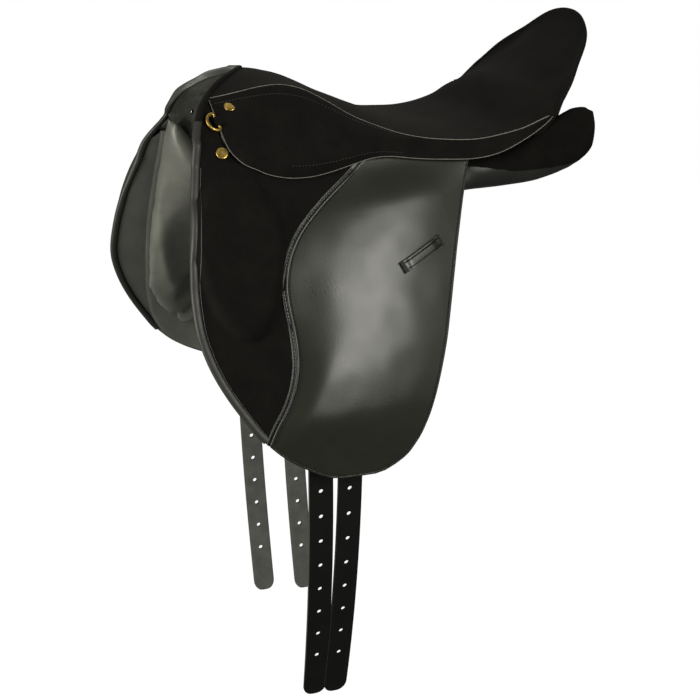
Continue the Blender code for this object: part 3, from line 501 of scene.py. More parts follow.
bindingLeather = leatherMaterial("softBindingLeather", {"deep": "#21211e", "raised": "#2c2c28", "grain": 1.2,
                                 "clouds": 14, "rough": (0.45, 0.55), "bump": 0.08}, 0.5)
suedeEdge = edgeMaterial("suedeCutEdge", "#5f5d57", "#7f7c75", 0.7)
leatherEdge = edgeMaterial("blackenedEdge", "#232321", "#3c3b38", 0.5)
strapEdge = edgeMaterial("strapCutEdge", "#2b2b2a", "#454543", 0.6)
thread = plainMaterial("waxedLinenThread", "#0b0b0b", 0.7)
paleThread = plainMaterial("greyLinenThread", "#2b2a28", 0.7)
brass = metalMaterial("castBrass", "#a5853f", "#cbab62", (0.28, 0.42))
steel = metalMaterial("forgedSteel", "#8c8c8a", "#a8a8a6", (0.3, 0.45))
gunMetal = metalMaterial("burnishedNickel", "#6d5f60", "#8d7f80", (0.25, 0.4))
wood, webbing, foam = woodMaterial("laminatedBeech"), webbingMaterial("linenWebbing"), foamMaterial("latexFoam")
print("materials made")

# Face, back and cut edge of what is cut from a hide
suedeHide, leatherHide, liningHide = (suede,) * 3, (leather, backLeather, leatherEdge), (facingLeather,) * 3


# The saddle's measures, as drawn

creaseZ = 57     # the height at which a flap lifts
rimRows = [
    (-205, 52.5, 113), (-192, 58, 116), (-174, 62, 120), (-154, 60, 123), (-130, 55, 123), (-110, 55, 118),
    (-86, 60, 105.5), (-64, 67, 92), (-36, 80, 80), (-18, 88, 74), (0, 96, 70.5), (24, 102, 68),
    (55, 106, 67), (86, 109, 71.5), (104, 112.5, 76.5), (118, 116, 83), (129, 117, 87.5)]
seatRows = [
    (-205, -157, 131.5), (-180, -146, 130.5), (-154, -132, 128), (-130, -115, 123.5), (-108, -98, 116.2),
    (-86, -80, 107.3), (-64, -60, 99), (-36, -34, 88), (-9, -9, 79.5), (20, 20, 74.3), (50, 52, 73),
    (80, 87, 81.5), (104, 118, 106), (118, 150, 120.5), (125, 179, 142), (128, 199, 162), (129, 208, 176)]
headRows = [
    (0, -157, 131.5), (20, -172, 129), (36, -188, 124), (52, -204, 114.5), (66, -214, 106), (80, -221, 96.5),
    (94, -227.5, 82), (99, -229.5, 76.5)]
skirtRows = [
    (-199, 90, 82), (-195, 101, 69.5), (-184, 107, 58), (-172, 108.8, 52), (-160, 111, 46.5),
    (-141, 113.2, 42.4), (-120, 113.6, 42), (-99, 112.4, 45), (-77, 110.4, 50), (-56, 108.6, 54.5),
    (-36, 108.6, 55), (-10, 110, 51.5), (16, 112.3, 49.3), (50, 115, 48.2), (77, 116.8, 52.5),
    (103, 118, 64), (124, 118.5, 77), (134, 118.4, 86)]
skirtCrease = (Vector((-200, 77, 92)), Vector((58, 109, 60)))
flapRows = [
    (-237, -118, -84), (-235.5, -127, -76), (-232, -136, -67), (-225, -150, -54), (-211, -172, -39.5),
    (-192, -193, -27), (-168, -211, -16), (-144, -226, -7.5), (-120, -237.5, 0), (-93, -245.5, 7),
    (-57, -248, 16), (-22, -245, 25.5), (12, -240.5, 36), (41, -235, 46), (57, -232, 52)]
seamRows = [
    (-196, -188.6), (-192, -186.8), (-180, -180.5), (-162, -169), (-144, -161), (-127, -156.5), (-109, -155.5),
    (-92, -156.3), (-74, -158.4), (-56, -159), (-38, -155.5), (-21, -148), (-5, -136.5), (11, -119.5),
    (24, -103), (35, -87.5), (44, -75), (50, -67), (57, -56)]
sweatRows = [
    (-224, -142, -92), (-218, -160, -76), (-207, -184, -62), (-187, -209, -46), (-166, -222, -36),
    (-143, -227.5, -26), (-98, -230, -10), (-53, -229, 4), (0, -224, 22), (40, -219, 34), (57, -217, 38)]
panelRows = [
    (-206, 46, 82, 80, 72, 40, -150), (-196, 44, 76, 82, 66, 14, -184), (-178, 42, 50, 86, 52, -2, -203),
    (-150, 41, 28, 92, 38, -6, -216), (-110, 37, 28, 93, 38, -8, -217), (-70, 34, 28, 94, 38, -8, -205),
    (-40, 33, 28, 94, 38, -6, -165), (-12, 33, 29, 95, 40, -4, -105), (12, 33, 30, 97, 42, -3, -45),
    (36, 33, 32, 100, 46, 3, 8), (60, 33, 34, 103, 49, 7, 16.5), (95, 34, 40, 104, 56, 10, 17),
    (130, 36, 48, 105, 80, 13, 19), (160, 40, 58, 98, 103, 19, 25), (182, 46, 64, 93, 104, 27, 30),
    (198, 54, 62, 88, 97, 38, 40)]
rim, seatLine, headEdge = smooth(rimRows), numbered(seatRows), numbered(headRows)
skirtEdge, flapOutline, flapSeam = numbered(skirtRows), smooth(flapRows), smooth(seamRows)
sweatOutline, panelLine = smooth(sweatRows), smooth(panelRows)


def at(x, y, z):
    return Vector((x, y, z)) * mm


def seatPoint(u, v):
    xRim, xMid, zMid = seatLine(u)
    half, zRim = rim(xRim)
    across = math.sin(v * math.pi / 2)
    bow = 1 - abs(across)**1.3
    rise = (zMid - zRim) * (1 - abs(across)**2.3)
    if u > 0.5:
        # The corners of the cantle stand up a little
        rise += 5 * ease((abs(across) - 0.55) / 0.3) * ease((1 - abs(across)) / 0.09) * ease((u - 0.7) / 0.3)
        bow = math.cos(v * math.pi / 2)
        bow -= 0.1 * ease((abs(v) - 0.3) / 0.3) * ease((1 - abs(v)) / 0.2) * ease((u - 0.75) / 0.25)
    return at(xRim + (xMid - xRim) * bow, half * across, zRim + rise)


def seatNormal(u, v):
    step, inside = 0.01, clamp(v, -0.9, 0.9)
    du = seatPoint(min(u + step, 1), inside) - seatPoint(max(u - step, 0), inside)
    dv = seatPoint(u, inside + step) - seatPoint(u, inside - step)
    return du.cross(dv).normalized()


def flapInner(x, z):
    # Half width of the flap's inner face, in millimetres
    rise = max(0.0, (z + 235) / 315)
    wrap = 8 * ((x + 105) / 140)**2 * clamp((60 - z) / 200)
    return 193 - 107 * rise**1.6 - wrap


def sweatOuter(x, z):
    share = clamp((64 - z) / 22)
    return flapInner(x, z) - (2.8 + 4.0 * share + 19 * clamp((42 - z) / 260))


# Camera and stage, first, because the view decides what shows

cameraLook = {"target": (-0.03865, 0, -0.17879), "distance": 1.62, "azimuth": -20, "elevation": 19,
              "focalPx": 1490.4, "imagePx": 700}


def addCamera():
    look = cameraLook
    azimuth, elevation = math.radians(look["azimuth"]), math.radians(look["elevation"])
    back = Vector((math.sin(azimuth) * math.cos(elevation), -math.cos(azimuth) * math.cos(elevation),
                   math.sin(elevation)))
    deselectAll()
    bpy.ops.object.camera_add(location=Vector(look["target"]) + back * look["distance"])
    camera = bpy.context.object
    camera.rotation_euler = (-back).to_track_quat("-Z", "Y").to_euler()
    camera.data.sensor_width = 36
    camera.data.lens = 36 * look["focalPx"] / look["imagePx"]
    camera.data.clip_end = 50
    bpy.context.scene.camera = camera
    return camera


stageLook = {"floorZ": -0.66, "floorSize": 40, "world": 0.18, "glow": 1.52, "shadowShare": 0.35}
lampLook = {
    # name: place, aim, width, height, watts; all a little warm
    "keySoftbox": ((-1.9, -0.9, 0.9), (-0.05, 0, -0.1), 0.9, 1.4, 22),
    "stripSoftbox": ((0.58, -1.74, 0.56), (-0.07, 0, -0.05), 0.68, 1.05, 22),
    "rearSoftbox": ((0.6, 1.9, 1.5), (-0.05, 0, -0.1), 1.4, 1.0, 8),
    "topSoftbox": ((-0.1, 0.3, 2.2), (-0.05, 0, 0), 1.6, 1.2, 4),
    "lowSoftbox": ((-1.7, -0.15, -0.15), (-0.15, 0, -0.05), 0.5, 0.6, 19),
}


def seenByCamera(tree):
    rays = addNode(tree, "ShaderNodeLightPath")
    return arithmetic(tree, "MAXIMUM", rays.outputs["Is Camera Ray"], rays.outputs["Is Transmission Ray"])


def addStage():
    look = stageLook
    deselectAll()
    bpy.ops.mesh.primitive_plane_add(size=look["floorSize"], location=(0, 0, look["floorZ"]))
    floor = bpy.context.object
    floor.name = "floor"
    material = bpy.data.materials.new("paperFloor")
    material.use_nodes = True
    tree = material.node_tree
    bsdf = tree.nodes["Principled BSDF"]
    bsdf.inputs["Base Color"].default_value = colour("#6a6a6a")
    bsdf.inputs["Roughness"].default_value = 0.9
    # Paper lit to white: the camera sees a glow that leaves room for the shadow of what hangs over it
    glow = addNode(tree, "ShaderNodeEmission", {"Color": (1, 1, 1, 1), "Strength": look["glow"]})
    lit = addNode(tree, "ShaderNodeMixShader", {0: look["shadowShare"]}, {1: glow.outputs[0], 2: bsdf.outputs[0]})
    seen = addNode(tree, "ShaderNodeMixShader", links={0: seenByCamera(tree), 1: bsdf.outputs[0],
                                                       2: lit.outputs[0]})
    tree.links.new(seen.outputs[0], tree.nodes["Material Output"].inputs["Surface"])
    floor.data.materials.append(material)
    world = bpy.data.worlds.new("studio")
    bpy.context.scene.world = world
    world.use_nodes = True
    tree = world.node_tree
    background = tree.nodes["Background"]
    background.inputs["Color"].default_value = (1, 1, 1, 1)
    background.inputs["Strength"].default_value = look["world"]
    white = addNode(tree, "ShaderNodeBackground", {"Color": (1, 1, 1, 1), "Strength": 1.0})
    mixed = addNode(tree, "ShaderNodeMixShader", links={0: seenByCamera(tree), 1: background.outputs[0],
                                                        2: white.outputs[0]})
    tree.links.new(mixed.outputs[0], tree.nodes["World Output"].inputs["Surface"])
    for name, (place, aim, width, height, watts) in lampLook.items():
        deselectAll()
        bpy.ops.object.light_add(type="AREA", location=place)
        lamp = bpy.context.object
        lamp.name = name
        lamp.data.shape = "RECTANGLE"
        lamp.data.size, lamp.data.size_y = width, height
        lamp.data.energy = watts
        lamp.data.color = (1.0, 0.99, 0.91)
        lamp.rotation_euler = (Vector(aim) - Vector(place)).to_track_quat("-Z", "Y").to_euler()


addCamera()
addStage()
bpy.context.scene.view_settings.view_transform = "Standard"
print("camera and stage made")


# Seat

seatLook = {"columns": 72, "rows": 110, "tuck": 9 * mm, "leather": 2.0 * mm, "unevenness": 0.35 * mm}


def seatCover():
    look = seatLook
    tuckShare = 0.05     # the outer share of the columns goes down behind the skirt

    def pointOf(u, v):
        across = (u * 2 - 1) * (1 + tuckShare)
        inside = clamp(across, -1, 1)
        point = seatPoint(v, inside)
        tucked = (abs(across) - 1) / tuckShare
        if tucked > 0:
            side = 1 if across > 0 else -1
            tucked *= ease(v / 0.05)
            point += Vector((0, -side * 0.0015 * tucked, -look["tuck"] * tucked))
        else:
            point += seatNormal(v, inside) * look["unevenness"] * uneven(point, 0.03) * (1 - inside**4)
        return point

    obj = cutPiece("seat_suede", look["columns"], look["rows"], pointOf, (0, 0, 1),
                   look["leather"], suedeHide)
    settle(obj, "saddle", "suede", "seat_cover")


def seatFoam():
    def pointOf(u, v):
        across, along = (u * 2 - 1) * 0.8, 0.05 + 0.77 * v
        return seatPoint(along, across) - seatNormal(along, across) * 3.5 * mm

    obj = cutPiece("seat_padding", 40, 60, pointOf, (0, 0, 1), 9 * mm, (foam,) * 3)
    settle(obj, "saddle", "foam", "seat_foam")


seatCover()
seatFoam()
print("seat made")


# Skirts

skirtLook = {"columns": 90, "rows": 16, "leather": 2.4 * mm, "swell": 7.4 * mm, "bead": 0.4 * mm}


def creasePoint(share, side):
    point = skirtCrease[0].lerp(skirtCrease[1], share)
    return Vector((point.x, side * point.y, point.z)) * mm


def skirtTop(x, side):
    half, z = rim(x)
    return at(x, side * half, z) + Vector((0, side * 0.0027, -0.0010))


def skirtPoint(u, v, side):
    # u runs from the front to the rear tip, v from the seat to the lower edge
    x, half, z = skirtEdge(u)
    low = at(x, side * half, z)
    xFront, xFold, xRear = skirtRows[0][0], skirtCrease[1].x, skirtRows[-1][0]
    if x <= xFold:
        share = (x - xFront) / (xFold - xFront)
        top = skirtTop(-203 + share * (xFold + 203), side)
        middle = creasePoint(share, side)
        bar = clamp(min((x + 199) / 14, (-28 - x) / 50))
    else:
        share = (x - xFold) / (xRear - xFold)
        top = skirtTop(xFold + share * (128.5 - xFold), side)
        middle = top.lerp(low, 0.4)
        bar = 0.0
    fold = 0.4
    if v < fold:
        s = v / fold
        point = top.lerp(middle, s)
        point += Vector((0, side * 0.6, 0.8)) * 0.004 * math.sin(min(u * 2, 1) * math.pi) * math.sin(s * math.pi)
        room = ease(s) * 0.35
    else:
        s = (v - fold) / (1 - fold)
        point = middle.lerp(low, s)
        room = 0.35 * (1 - s) + 1.0 * math.sin(min(s * 1.25, 1) * math.pi * 0.5) * (1 - ease((s - 0.72) / 0.28))
    point += Vector((0, side * 0.97, 0.25)) * skirtLook["swell"] * bar * clamp(room)
    return point


def skirt(name, side):
    look = skirtLook

    def pointOf(u, v):
        soft = 0.05     # the fold is rounded over this share of the height
        point = (skirtPoint(u, max(v - soft, 0), side) + skirtPoint(u, v, side) * 2
                 + skirtPoint(u, min(v + soft, 1), side)) / 4
        point = point.lerp(skirtPoint(u, v, side), ease((abs(v - 0.5) - 0.4) / 0.1))
        return point + Vector((0, side * 0.0003, 0)) * uneven(point, 0.02, 3)

    obj = cutPiece("skirt_" + name, look["columns"], look["rows"], pointOf, (0, side, 0.6), look["leather"],
                   (suede, suede, suedeEdge), 0.5 * mm)
    fold = creasePoint(0.4, side)
    across = (skirtPoint(0.45, 1, side) - fold).normalized() * 3 * mm
    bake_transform(obj)
    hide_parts("skirt_sewn_" + name, "skirt_lobe_" + name)
    # The pale cut edge catches the light all round
    top = [skirtPoint(u, 0, side) + Vector((0, -side * 0.0008, 0.0001)) for u in np.linspace(0, 1, 120)]
    rim = tube("skirt_seam_edge_" + name, top, look["bead"], material=suedeEdge)
    settle(rim, "saddle", "suede")
    ends = [skirtPoint(0, v, side) for v in np.linspace(0, 1, 24)]
    ends += [skirtPoint(u, 1, side) for u in np.linspace(0, 1, 140)[1:]]
    edge = tube("skirt_cut_edge_" + name, evenly(ends, 240), look["bead"], material=suedeEdge)
    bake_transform(edge)
    for part, v, first, body in (("upper", 0.10, 0.05, "saddle"), ("lower", 0.86, 0.30, "skirt_" + name)):
        line = [skirtPoint(u, v, side) for u in np.linspace(first, 0.62, 90)]
        row = stitchRow(f"skirt_{part}_stitches_{name}", line, outwards(side, 0.4), paleThread)
        settle(row, body, "suede")


for name, side in sides:
    skirt(name, side)
print("skirts made")


# Flaps

flapLook = {"backing": 2.2, "face": 1.5, "bulge": 7.0, "kneeLift": 9.0, "kneeCentre": (-199, -4), "kneeAcross": 44,
            "kneeUp": 54, "kneeDown": 96, "tabFront": (-232, 102.3, 57), "tabRear": (
                (-178, 101.6, 57.2), (-181, 98, 61), (-184, 88, 72), (-188, 72, 88), (-193, 54, 105))}
tabFrontRows = [flapLook["tabFront"]] + [(x, half, z) for half, x, z in headRows[:2:-1]]
tabFront, tabRear = numbered(tabFrontRows), numbered(flapLook["tabRear"])


def flapZ(v, low=flapRows[0][0]):
    # Levels from the lowest edge up, closer together where the outline turns under
    return low + (creaseZ - 0.4 - low) * (0.35 * v * v + 0.65 * v)


def kneeLift(x, z):
    look = flapLook
    across = (x - look["kneeCentre"][0]) / look["kneeAcross"]
    along = (z - look["kneeCentre"][1]) / (look["kneeUp"] if z > look["kneeCentre"][1] else look["kneeDown"])
    inside = clamp(1 - across**2 - along**2)
    return look["kneeLift"] * (1 - (1 - clamp(inside / 0.4))**2)


def sidePoint(x, half, z, side):
    return Vector((x, side * half, z)) * mm


def flapPoint(x, half, z, side):
    # The far flap hangs a little further forward than the near one
    ahead = 12 * ease((45 - z) / 90) + 6 * ease((-30 - z) / 70)
    ahead *= ease((-60 - x) / 120) if side > 0 else 0
    return sidePoint(x - ahead, half, z, side)


def thighBulge(x, z):
    # The smooth leather is drawn out along a slanting line, which carries its highlight
    crest = -22 + (z - 30) * 0.62
    ends = flapSeam(z)[0], flapOutline(z)[1]
    share = (x - crest) / (ends[0] - crest if x < crest else ends[1] - crest)
    return (flapLook["bulge"] * math.cos(clamp(share) * math.pi / 2) * ease((z + 237) / 70)
            * ease((52 - z) / 40))


def flapFace(x, z):
    return flapInner(x, z) + flapLook["backing"] + 0.4 + flapLook["face"] + thighBulge(x, z)


def offFlap(side):
    # Which way the flap's face looks, at a point of it
    step = 2.0

    def face(x, z):
        return sidePoint(x, flapFace(x, z), z, side)

    def normalOf(p, v=0):
        x, z = p.x / mm, p.z / mm
        normal = (face(x + step, z) - face(x - step, z)).cross(face(x, z + step) - face(x, z - step)).normalized()
        return normal if normal.y * side > 0 else -normal

    return normalOf


def frontFace(x, z):
    return flapFace(x, z) + kneeLift(x, z)


def liftWithFlap(obj):
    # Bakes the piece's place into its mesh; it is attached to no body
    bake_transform(obj)


def flapBacking(name, side):
    def pointOf(u, v):
        z = flapZ(v)
        front, rear = flapOutline(z)
        front += clamp(z - 42, 0, 15)
        x = front + 0.6 + (rear - front - 1.2) * u
        return flapPoint(x, flapInner(x, z) + flapLook["backing"], z, side)

    obj = cutPiece("flap_back_" + name, 40, 64, pointOf, (0, side, 0.3),
                   flapLook["backing"] * mm, leatherHide)
    settle(obj, "flap_" + name, "leather", "flap_backing_" + name)


def flapRear(name, side):
    def pointOf(u, v):
        z = flapZ(v)
        front, rear = flapOutline(z)
        seam = flapSeam(z)[0] if z > seamRows[0][0] else front
        x = seam + (rear - seam) * u
        point = flapPoint(x, flapFace(x, z), z, side)
        return point + Vector((0, side * 0.0003, 0)) * uneven(point, 0.025, 5)

    obj = cutPiece("flap_smooth_" + name, 44, 84, pointOf, (0, side, 0.3),
                   flapLook["face"] * mm, (leather, leather, leatherEdge))
    settle(obj, "flap_" + name, "leather", "flap_leather_" + name)


def flapFront(name, side):
    # Suede from the seam foot up to the head: below the crease it lies over the knee pad, above it is nailed to the
    # tree
    creaseShare, lowest = 0.78, seamRows[0][0]

    def pointOf(u, v):
        if v <= creaseShare:
            z = flapZ(v / creaseShare, lowest)
            front, seam = flapOutline(z)[0], flapSeam(z)[0] - 0.4
            x = front + (seam - front) * u
            point = flapPoint(x, frontFace(x, z), z, side)
        else:
            s = (v - creaseShare) / (1 - creaseShare)
            a, b = tabFront(s), tabRear(s)
            x, half, z = a + (b - a) * u
            point = sidePoint(x, half, z, side)
        return point + Vector((0, side * 0.0003, 0)) * uneven(point, 0.02, 7)

    obj = cutPiece("flap_front_" + name, 60, 120, pointOf, (0, side, 0.3),
                   flapLook["face"] * mm, suedeHide)
    liftWithFlap(obj)
    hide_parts("flap_suede_" + name, "knee_pad_" + name, "head_side_" + name)


def topStrip(name, side):
    # The flap's top strip, nailed to the tree under the skirt
    def pointOf(u, v):
        z = 57.4 + 17.6 * v
        front = -225 + 0.1 * (z - 57.4)
        rear = float(np.interp(z, (57.4, 61, 66, 70, 75), (44, 40, -30, -202, -203)))
        return sidePoint(front + (rear - front) * u, flapInner(front, z) + 3.0, z, side)

    obj = cutPiece("top_strip_" + name, 60, 12, pointOf, (0, side, 0), 3.0 * mm, leatherHide)
    settle(obj, "saddle", "leather", "flap_nailing_" + name)


# The raised band over the flap's seam, its edges and its stitches

bandLook = {"foot": -194.0, "half": 4.3 * mm, "rows": 150, "cord": 0.8 * mm,
            "profile": [(-1, -0.3), (-0.95, 0.6), (-0.8, 0.8), (-0.6, 0.5), (-0.45, 0.1), (-0.2, 0.1),
                        (-0.05, 1.3), (0.12, 1.9), (0.4, 2.0), (0.58, 1.5), (0.7, 0.3), (1, 0.2), (1, -0.3)]}
bindingLook = {"half": 4.1 * mm, "thick": 3.3 * mm, "inset": 3.2, "sides": 18, "beadRadius": 0.45 * mm,
               "headShare": {-1: 0.8, 1: 0.3}, "suedeFrom": {-1: 96 * mm, 1: 140 * mm}}


def seamLine(side, lift=0.0, shift=0.0, top=creaseZ - 1):
    points = []
    for z in np.linspace(bandLook["foot"], top, 161):
        x = flapSeam(z)[0] + shift
        points.append(flapPoint(x, frontFace(x, z) + lift, z, side))
    return points


def band(name, side):
    path = evenly(seamLine(side), bandLook["rows"])

    def flatten(point):
        return 1 - 0.75 * ease((point.z / mm - 36) / 10)

    profile = [(a, b * mm) for a, b in bandLook["profile"]]
    if side > 0:
        profile = [(-a, b) for a, b in profile]
    obj = strapAlong("flap_band_" + name + "_strip", path, outwards(side), lambda v: bandLook["half"], profile,
                     bandLeather)
    for vertex in obj.data.vertices:     # it runs flat under the skirt
        x, z = vertex.co.x / mm, vertex.co.z / mm
        base = frontFace(x, z) * mm
        out = side * vertex.co.y - base
        if out > 0:
            vertex.co.y = side * (base + out * flatten(vertex.co))
    cord = tube("band_cord_" + name, seamLine(side, 0.9, -3.4, 46), bandLook["cord"], material=bandLeather)
    obj = joined("flap_band_" + name + "_strip", [obj, cord])
    settle(obj, "flap_" + name, "leather", "flap_band_" + name)
    rows = [stitchRow(f"band_stitches_{part}_{name}", seamLine(side, lift, shift, 38), offFlap(side), thread)
            for part, lift, shift in (("front", 0.5, -1.6), ("rear", 0.6, 4.2))]
    row = joined("band_stitches_" + name, rows)
    settle(row, "flap_" + name, "leather")


def bindingMiddle(x, z):
    return flapInner(x, z) + 2.05 + kneeLift(x, z) * 0.5


def frontEdge(side, inset):
    # The flap's front edge from the seam foot up, then the edge of the head up to its middle
    points = []
    for i in range(121):
        z = -191 + (creaseZ + 191) * i / 120
        x = flapOutline(z)[0] + inset
        points.append(flapPoint(x, bindingMiddle(x, z), z, side))
    for i in range(1, 61):
        half, x, z = headEdge(1 - i / 60)
        away = ease(i / 12)
        points.append(sidePoint(x + inset * (1 - away) + 1.5 * away, half, z - 0.5, side))
    return points


def binding(name, side):
    look = bindingLook
    path = evenly(frontEdge(side, look["inset"]), 200)
    profile = []
    for i in range(look["sides"]):
        c, s = math.cos(2 * math.pi * i / look["sides"]), math.sin(2 * math.pi * i / look["sides"])
        profile.append((abs(c)**0.8 * (1 if c > 0 else -1), abs(s)**0.8 * (1 if s > 0 else -1) * look["thick"]))

    def outward(point, v):
        head = ease((point.z / mm - 75) / 40)
        return Vector((-0.5 * head, side * (1 - 0.5 * head), 0.3 + 0.7 * head)).normalized()

    def half(v):
        return look["half"] * (1 - (1 - look["headShare"][side]) * ease((v - 0.68) / 0.12))

    obj = strapAlong("flap_binding_" + name + "_roll", path, outward, half, profile, bindingLeather)
    dress(obj, bindingLeather, suede)
    for face in obj.data.polygons:      # round the head it is of suede
        face.material_index = 1 if face.center.z > look["suedeFrom"][side] else 0
    for vertex in obj.data.vertices:     # it takes in the knee pad's edge too
        x, z = vertex.co.x / mm, vertex.co.z / mm
        if z < 60:
            x = flapOutline(z)[0] + look["inset"]
            middle = bindingMiddle(x, z) * mm
            grown = 1 + kneeLift(x, z) * mm / 2 / look["thick"]
            vertex.co.y = side * (middle + (side * vertex.co.y - middle) * grown)
    liftWithFlap(obj)
    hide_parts("flap_binding_" + name)
    line = []
    for i in range(121):
        z = -186 + (56 + 186) * i / 120
        x = flapOutline(z)[0] + look["inset"] + 4.6
        line.append(flapPoint(x, frontFace(x, z) + 0.15, z, side))
    bead = tube("binding_bead_" + name, line, look["beadRadius"], material=bandLeather)
    settle(bead, "flap_" + name, "leather")


def outlineInside(side, inset, lift, top=44.0):
    # A line inside the flap's rear and lower edge, from the skirt round to the foot of the seam
    middle = Vector((-105, -40))
    points = []
    rear = [(flapOutline(z)[1], z) for z in np.linspace(top, -237, 120)]
    front = [(flapOutline(z)[0], z) for z in np.linspace(-237, -200, 40)]
    for x, z in rear + front:
        inward = (middle - Vector((x, z))).normalized()
        x, z = x + inward.x * inset, z + inward.y * inset
        points.append(flapPoint(x, flapFace(x, z) + lift, z, side))
    return evenly(points, 260)


def edgeStitches(name, side):
    row = stitchRow("flap_edge_stitches_" + name, outlineInside(side, 3.6, 0.35), offFlap(side), thread)
    bead = tube("flap_edge_bead_" + name, outlineInside(side, 1.6, 0.05, 48), 0.5 * mm, material=bandLeather)
    for obj in (row, bead):
        settle(obj, "flap_" + name, "leather")


# Strap keeper on the flap

keeperLook = {"start": (-43.9, -39.2), "end": (1.0, -18.2), "width": 12.2, "leather": 1.6, "slot": 1.2,
              "base": 0.9, "stitch": 2.6 * mm}


def keeperRise(share):
    return keeperLook["slot"] * ease((share - 0.10) / 0.12) * ease((0.90 - share) / 0.12)


def keeper(name, side):
    look = keeperLook
    start, end = Vector(look["start"]), Vector(look["end"])
    run = (end - start).normalized()
    down = Vector((run.y, -run.x))
    path = []
    for i in range(41):
        share = i / 40
        spot = start.lerp(end, share) + down * look["width"] / 2
        path.append(flapPoint(spot.x, flapFace(spot.x, spot.y) + look["base"] + keeperRise(share), spot.y, side))
    t, half = look["leather"] * mm, look["width"] / 2 * mm
    halfProfile = [(0.15, 1.15 * t), (0.42, 1.1 * t), (0.5, 0.4 * t), (0.6, 0.4 * t), (0.68, 1.15 * t),
                   (0.9, 1.1 * t), (0.95, 0.5 * t), (0.95, -0.5 * t)]
    profile = [(-a, b) for a, b in halfProfile[::-1]] + halfProfile

    outward = offFlap(side)
    obj = strapAlong("keeper_strip_" + name, path, outward, lambda v: half, profile, leather)
    # Under the keeper, a dark plate a little wider and longer than it paints a shadow line round its edges
    low = [p - outward(p) * keeperRise(i / 40) * mm for i, p in enumerate(path)]
    ahead = (low[-1] - low[0]).normalized() * 0.7 * mm
    low = [low[0] - ahead] + low + [low[-1] + ahead]
    base = strapAlong("keeper_shadow_line_" + name, low, outward, lambda v: half * 1.06,
                      [(-1, -1.4 * mm), (-1, 0), (1, 0), (1, -1.4 * mm)], leatherEdge)
    obj = joined("keeper_strip_" + name, [obj, base])
    for i, part in enumerate((path[:4], path[-3:])):     # the sewn ends
        bar = strapAlong(f"keeper_end_{i}_{name}", part, outward, lambda v: half * 0.98,
                          [(-1, -0.4 * t), (-1, 1.3 * t), (1, 1.3 * t), (1, -0.4 * t)], strapLeather)
        obj = joined("keeper_strip_" + name, [obj, bar])
    settle(obj, "flap_" + name, "leather", "keeper_" + name)
    rows = []
    for i, share in enumerate((0.01, 0.04, 0.07, 0.93, 0.96, 0.99)):
        a = start.lerp(end, share)
        line = [flapPoint(q.x, flapFace(q.x, q.y) + look["base"] + look["leather"] * 1.2, q.y, side)
                for q in (a + down * 0.8, a + down * (look["width"] - 0.8))]
        rows.append(stitchRow(f"keeper_end_{i}_{name}", line, outwards(side), thread, look["stitch"]))
    for i, across in enumerate((2.7, look["width"] - 2.7)):
        line = []
        for share in np.linspace(0.1, 0.9, 16):
            q = start.lerp(end, float(share)) + down * across
            rise = look["base"] + keeperRise(share) + look["leather"] * 0.45
            line.append(flapPoint(q.x, flapFace(q.x, q.y) + rise, q.y, side))
        rows.append(stitchRow(f"keeper_side_{i}_{name}", line, outwards(side), thread, look["stitch"]))
    row = joined("keeper_stitches_" + name, rows)
    settle(row, "flap_" + name, "leather")


for name, side in sides:
    topStrip(name, side)
    flapBacking(name, side)
    flapRear(name, side)
    flapFront(name, side)
    band(name, side)
    binding(name, side)
    edgeStitches(name, side)
    keeper(name, side)
print("flaps made")


# Head and cantle

headLook = {"columns": 110, "rows": 44, "leather": 2.0 * mm, "crease": 0.8 * mm}


def headFacing():
    # Soft leather drawn over the cut-back head, creased where it turns inwards
    def pointOf(u, v):
        t = (u * 2 - 1) * 0.985
        side = 1 if t > 0 else -1
        half, x, z = headEdge(abs(t))
        edge = sidePoint(x + 0.8, half, z - 1.0, side)
        low = at(-166 - 38 * abs(t)**1.2, side * 62 * abs(t)**0.72, 90 - 44 * abs(t)**1.15)
        point = edge.lerp(low, v) + Vector((0.005 * math.sin(v * math.pi), 0, 0))
        folds = noise.noise(Vector((t * 4, v * 5, 2.0))) + 0.6 * noise.noise(Vector((t * 9, v * 12, 7.0)))
        ridge = 1 - abs(folds) * 2
        return point + Vector((-1, 0, -0.3)) * headLook["crease"] * ridge * math.sin(clamp(v * 1.05) * math.pi)

    obj = cutPiece("head_facing", headLook["columns"], headLook["rows"], pointOf, (-1, 0, -0.2),
                   headLook["leather"], liningHide)
    settle(obj, "saddle", "lining", "pommel_facing")


# How far the wall stands out at each share of its height, in millimetres
cantleLook = {"foot": (118, 58, 103.0, 64.0), "leather": 2.0 * mm,
              "swell": smooth([(0, 1), (0.1, 1.2), (0.3, 1), (0.5, 0.5), (0.7, 0.2), (0.85, 0.2), (1, 0)]),
              "wood": 3 * mm, "woodIn": 13 * mm}


def cantleWall():
    look = cantleLook

    def pointOf(u, v):
        a = (u * 2 - 1) * 0.97
        across, along = math.sin(a * math.pi / 2), math.cos(a * math.pi / 2)
        away = Vector((1.5 * along, across, 0)).normalized()
        top = seatPoint(1, a) + Vector((0, 0, -0.0012))
        x0, depth, half, z = look["foot"]
        low = at(x0 + depth * along, half * across, z)
        point = top.lerp(low, v) + away * look["swell"](v)[0] * mm * along**0.5
        return point + away * 0.0003 * uneven(point, 0.03, 11)

    obj = cutPiece("cantle_suede", 64, 28, pointOf, (1, 0, 0), look["leather"], suedeHide)
    settle(obj, "saddle", "suede", "cantle_back")
    path = []
    for i in range(121):
        a = -0.99 + 1.98 * i / 120
        across, along = math.sin(a * math.pi / 2), math.cos(a * math.pi / 2)
        path.append(seatPoint(1, a) + Vector((1.5 * along, across, 0)).normalized() * 0.0012
                    + Vector((0, 0, -0.0010)))
    piping = tube("cantle_piping", path, 1.5 * mm, material=suede)
    settle(piping, "saddle", "suede", "seat_welt")


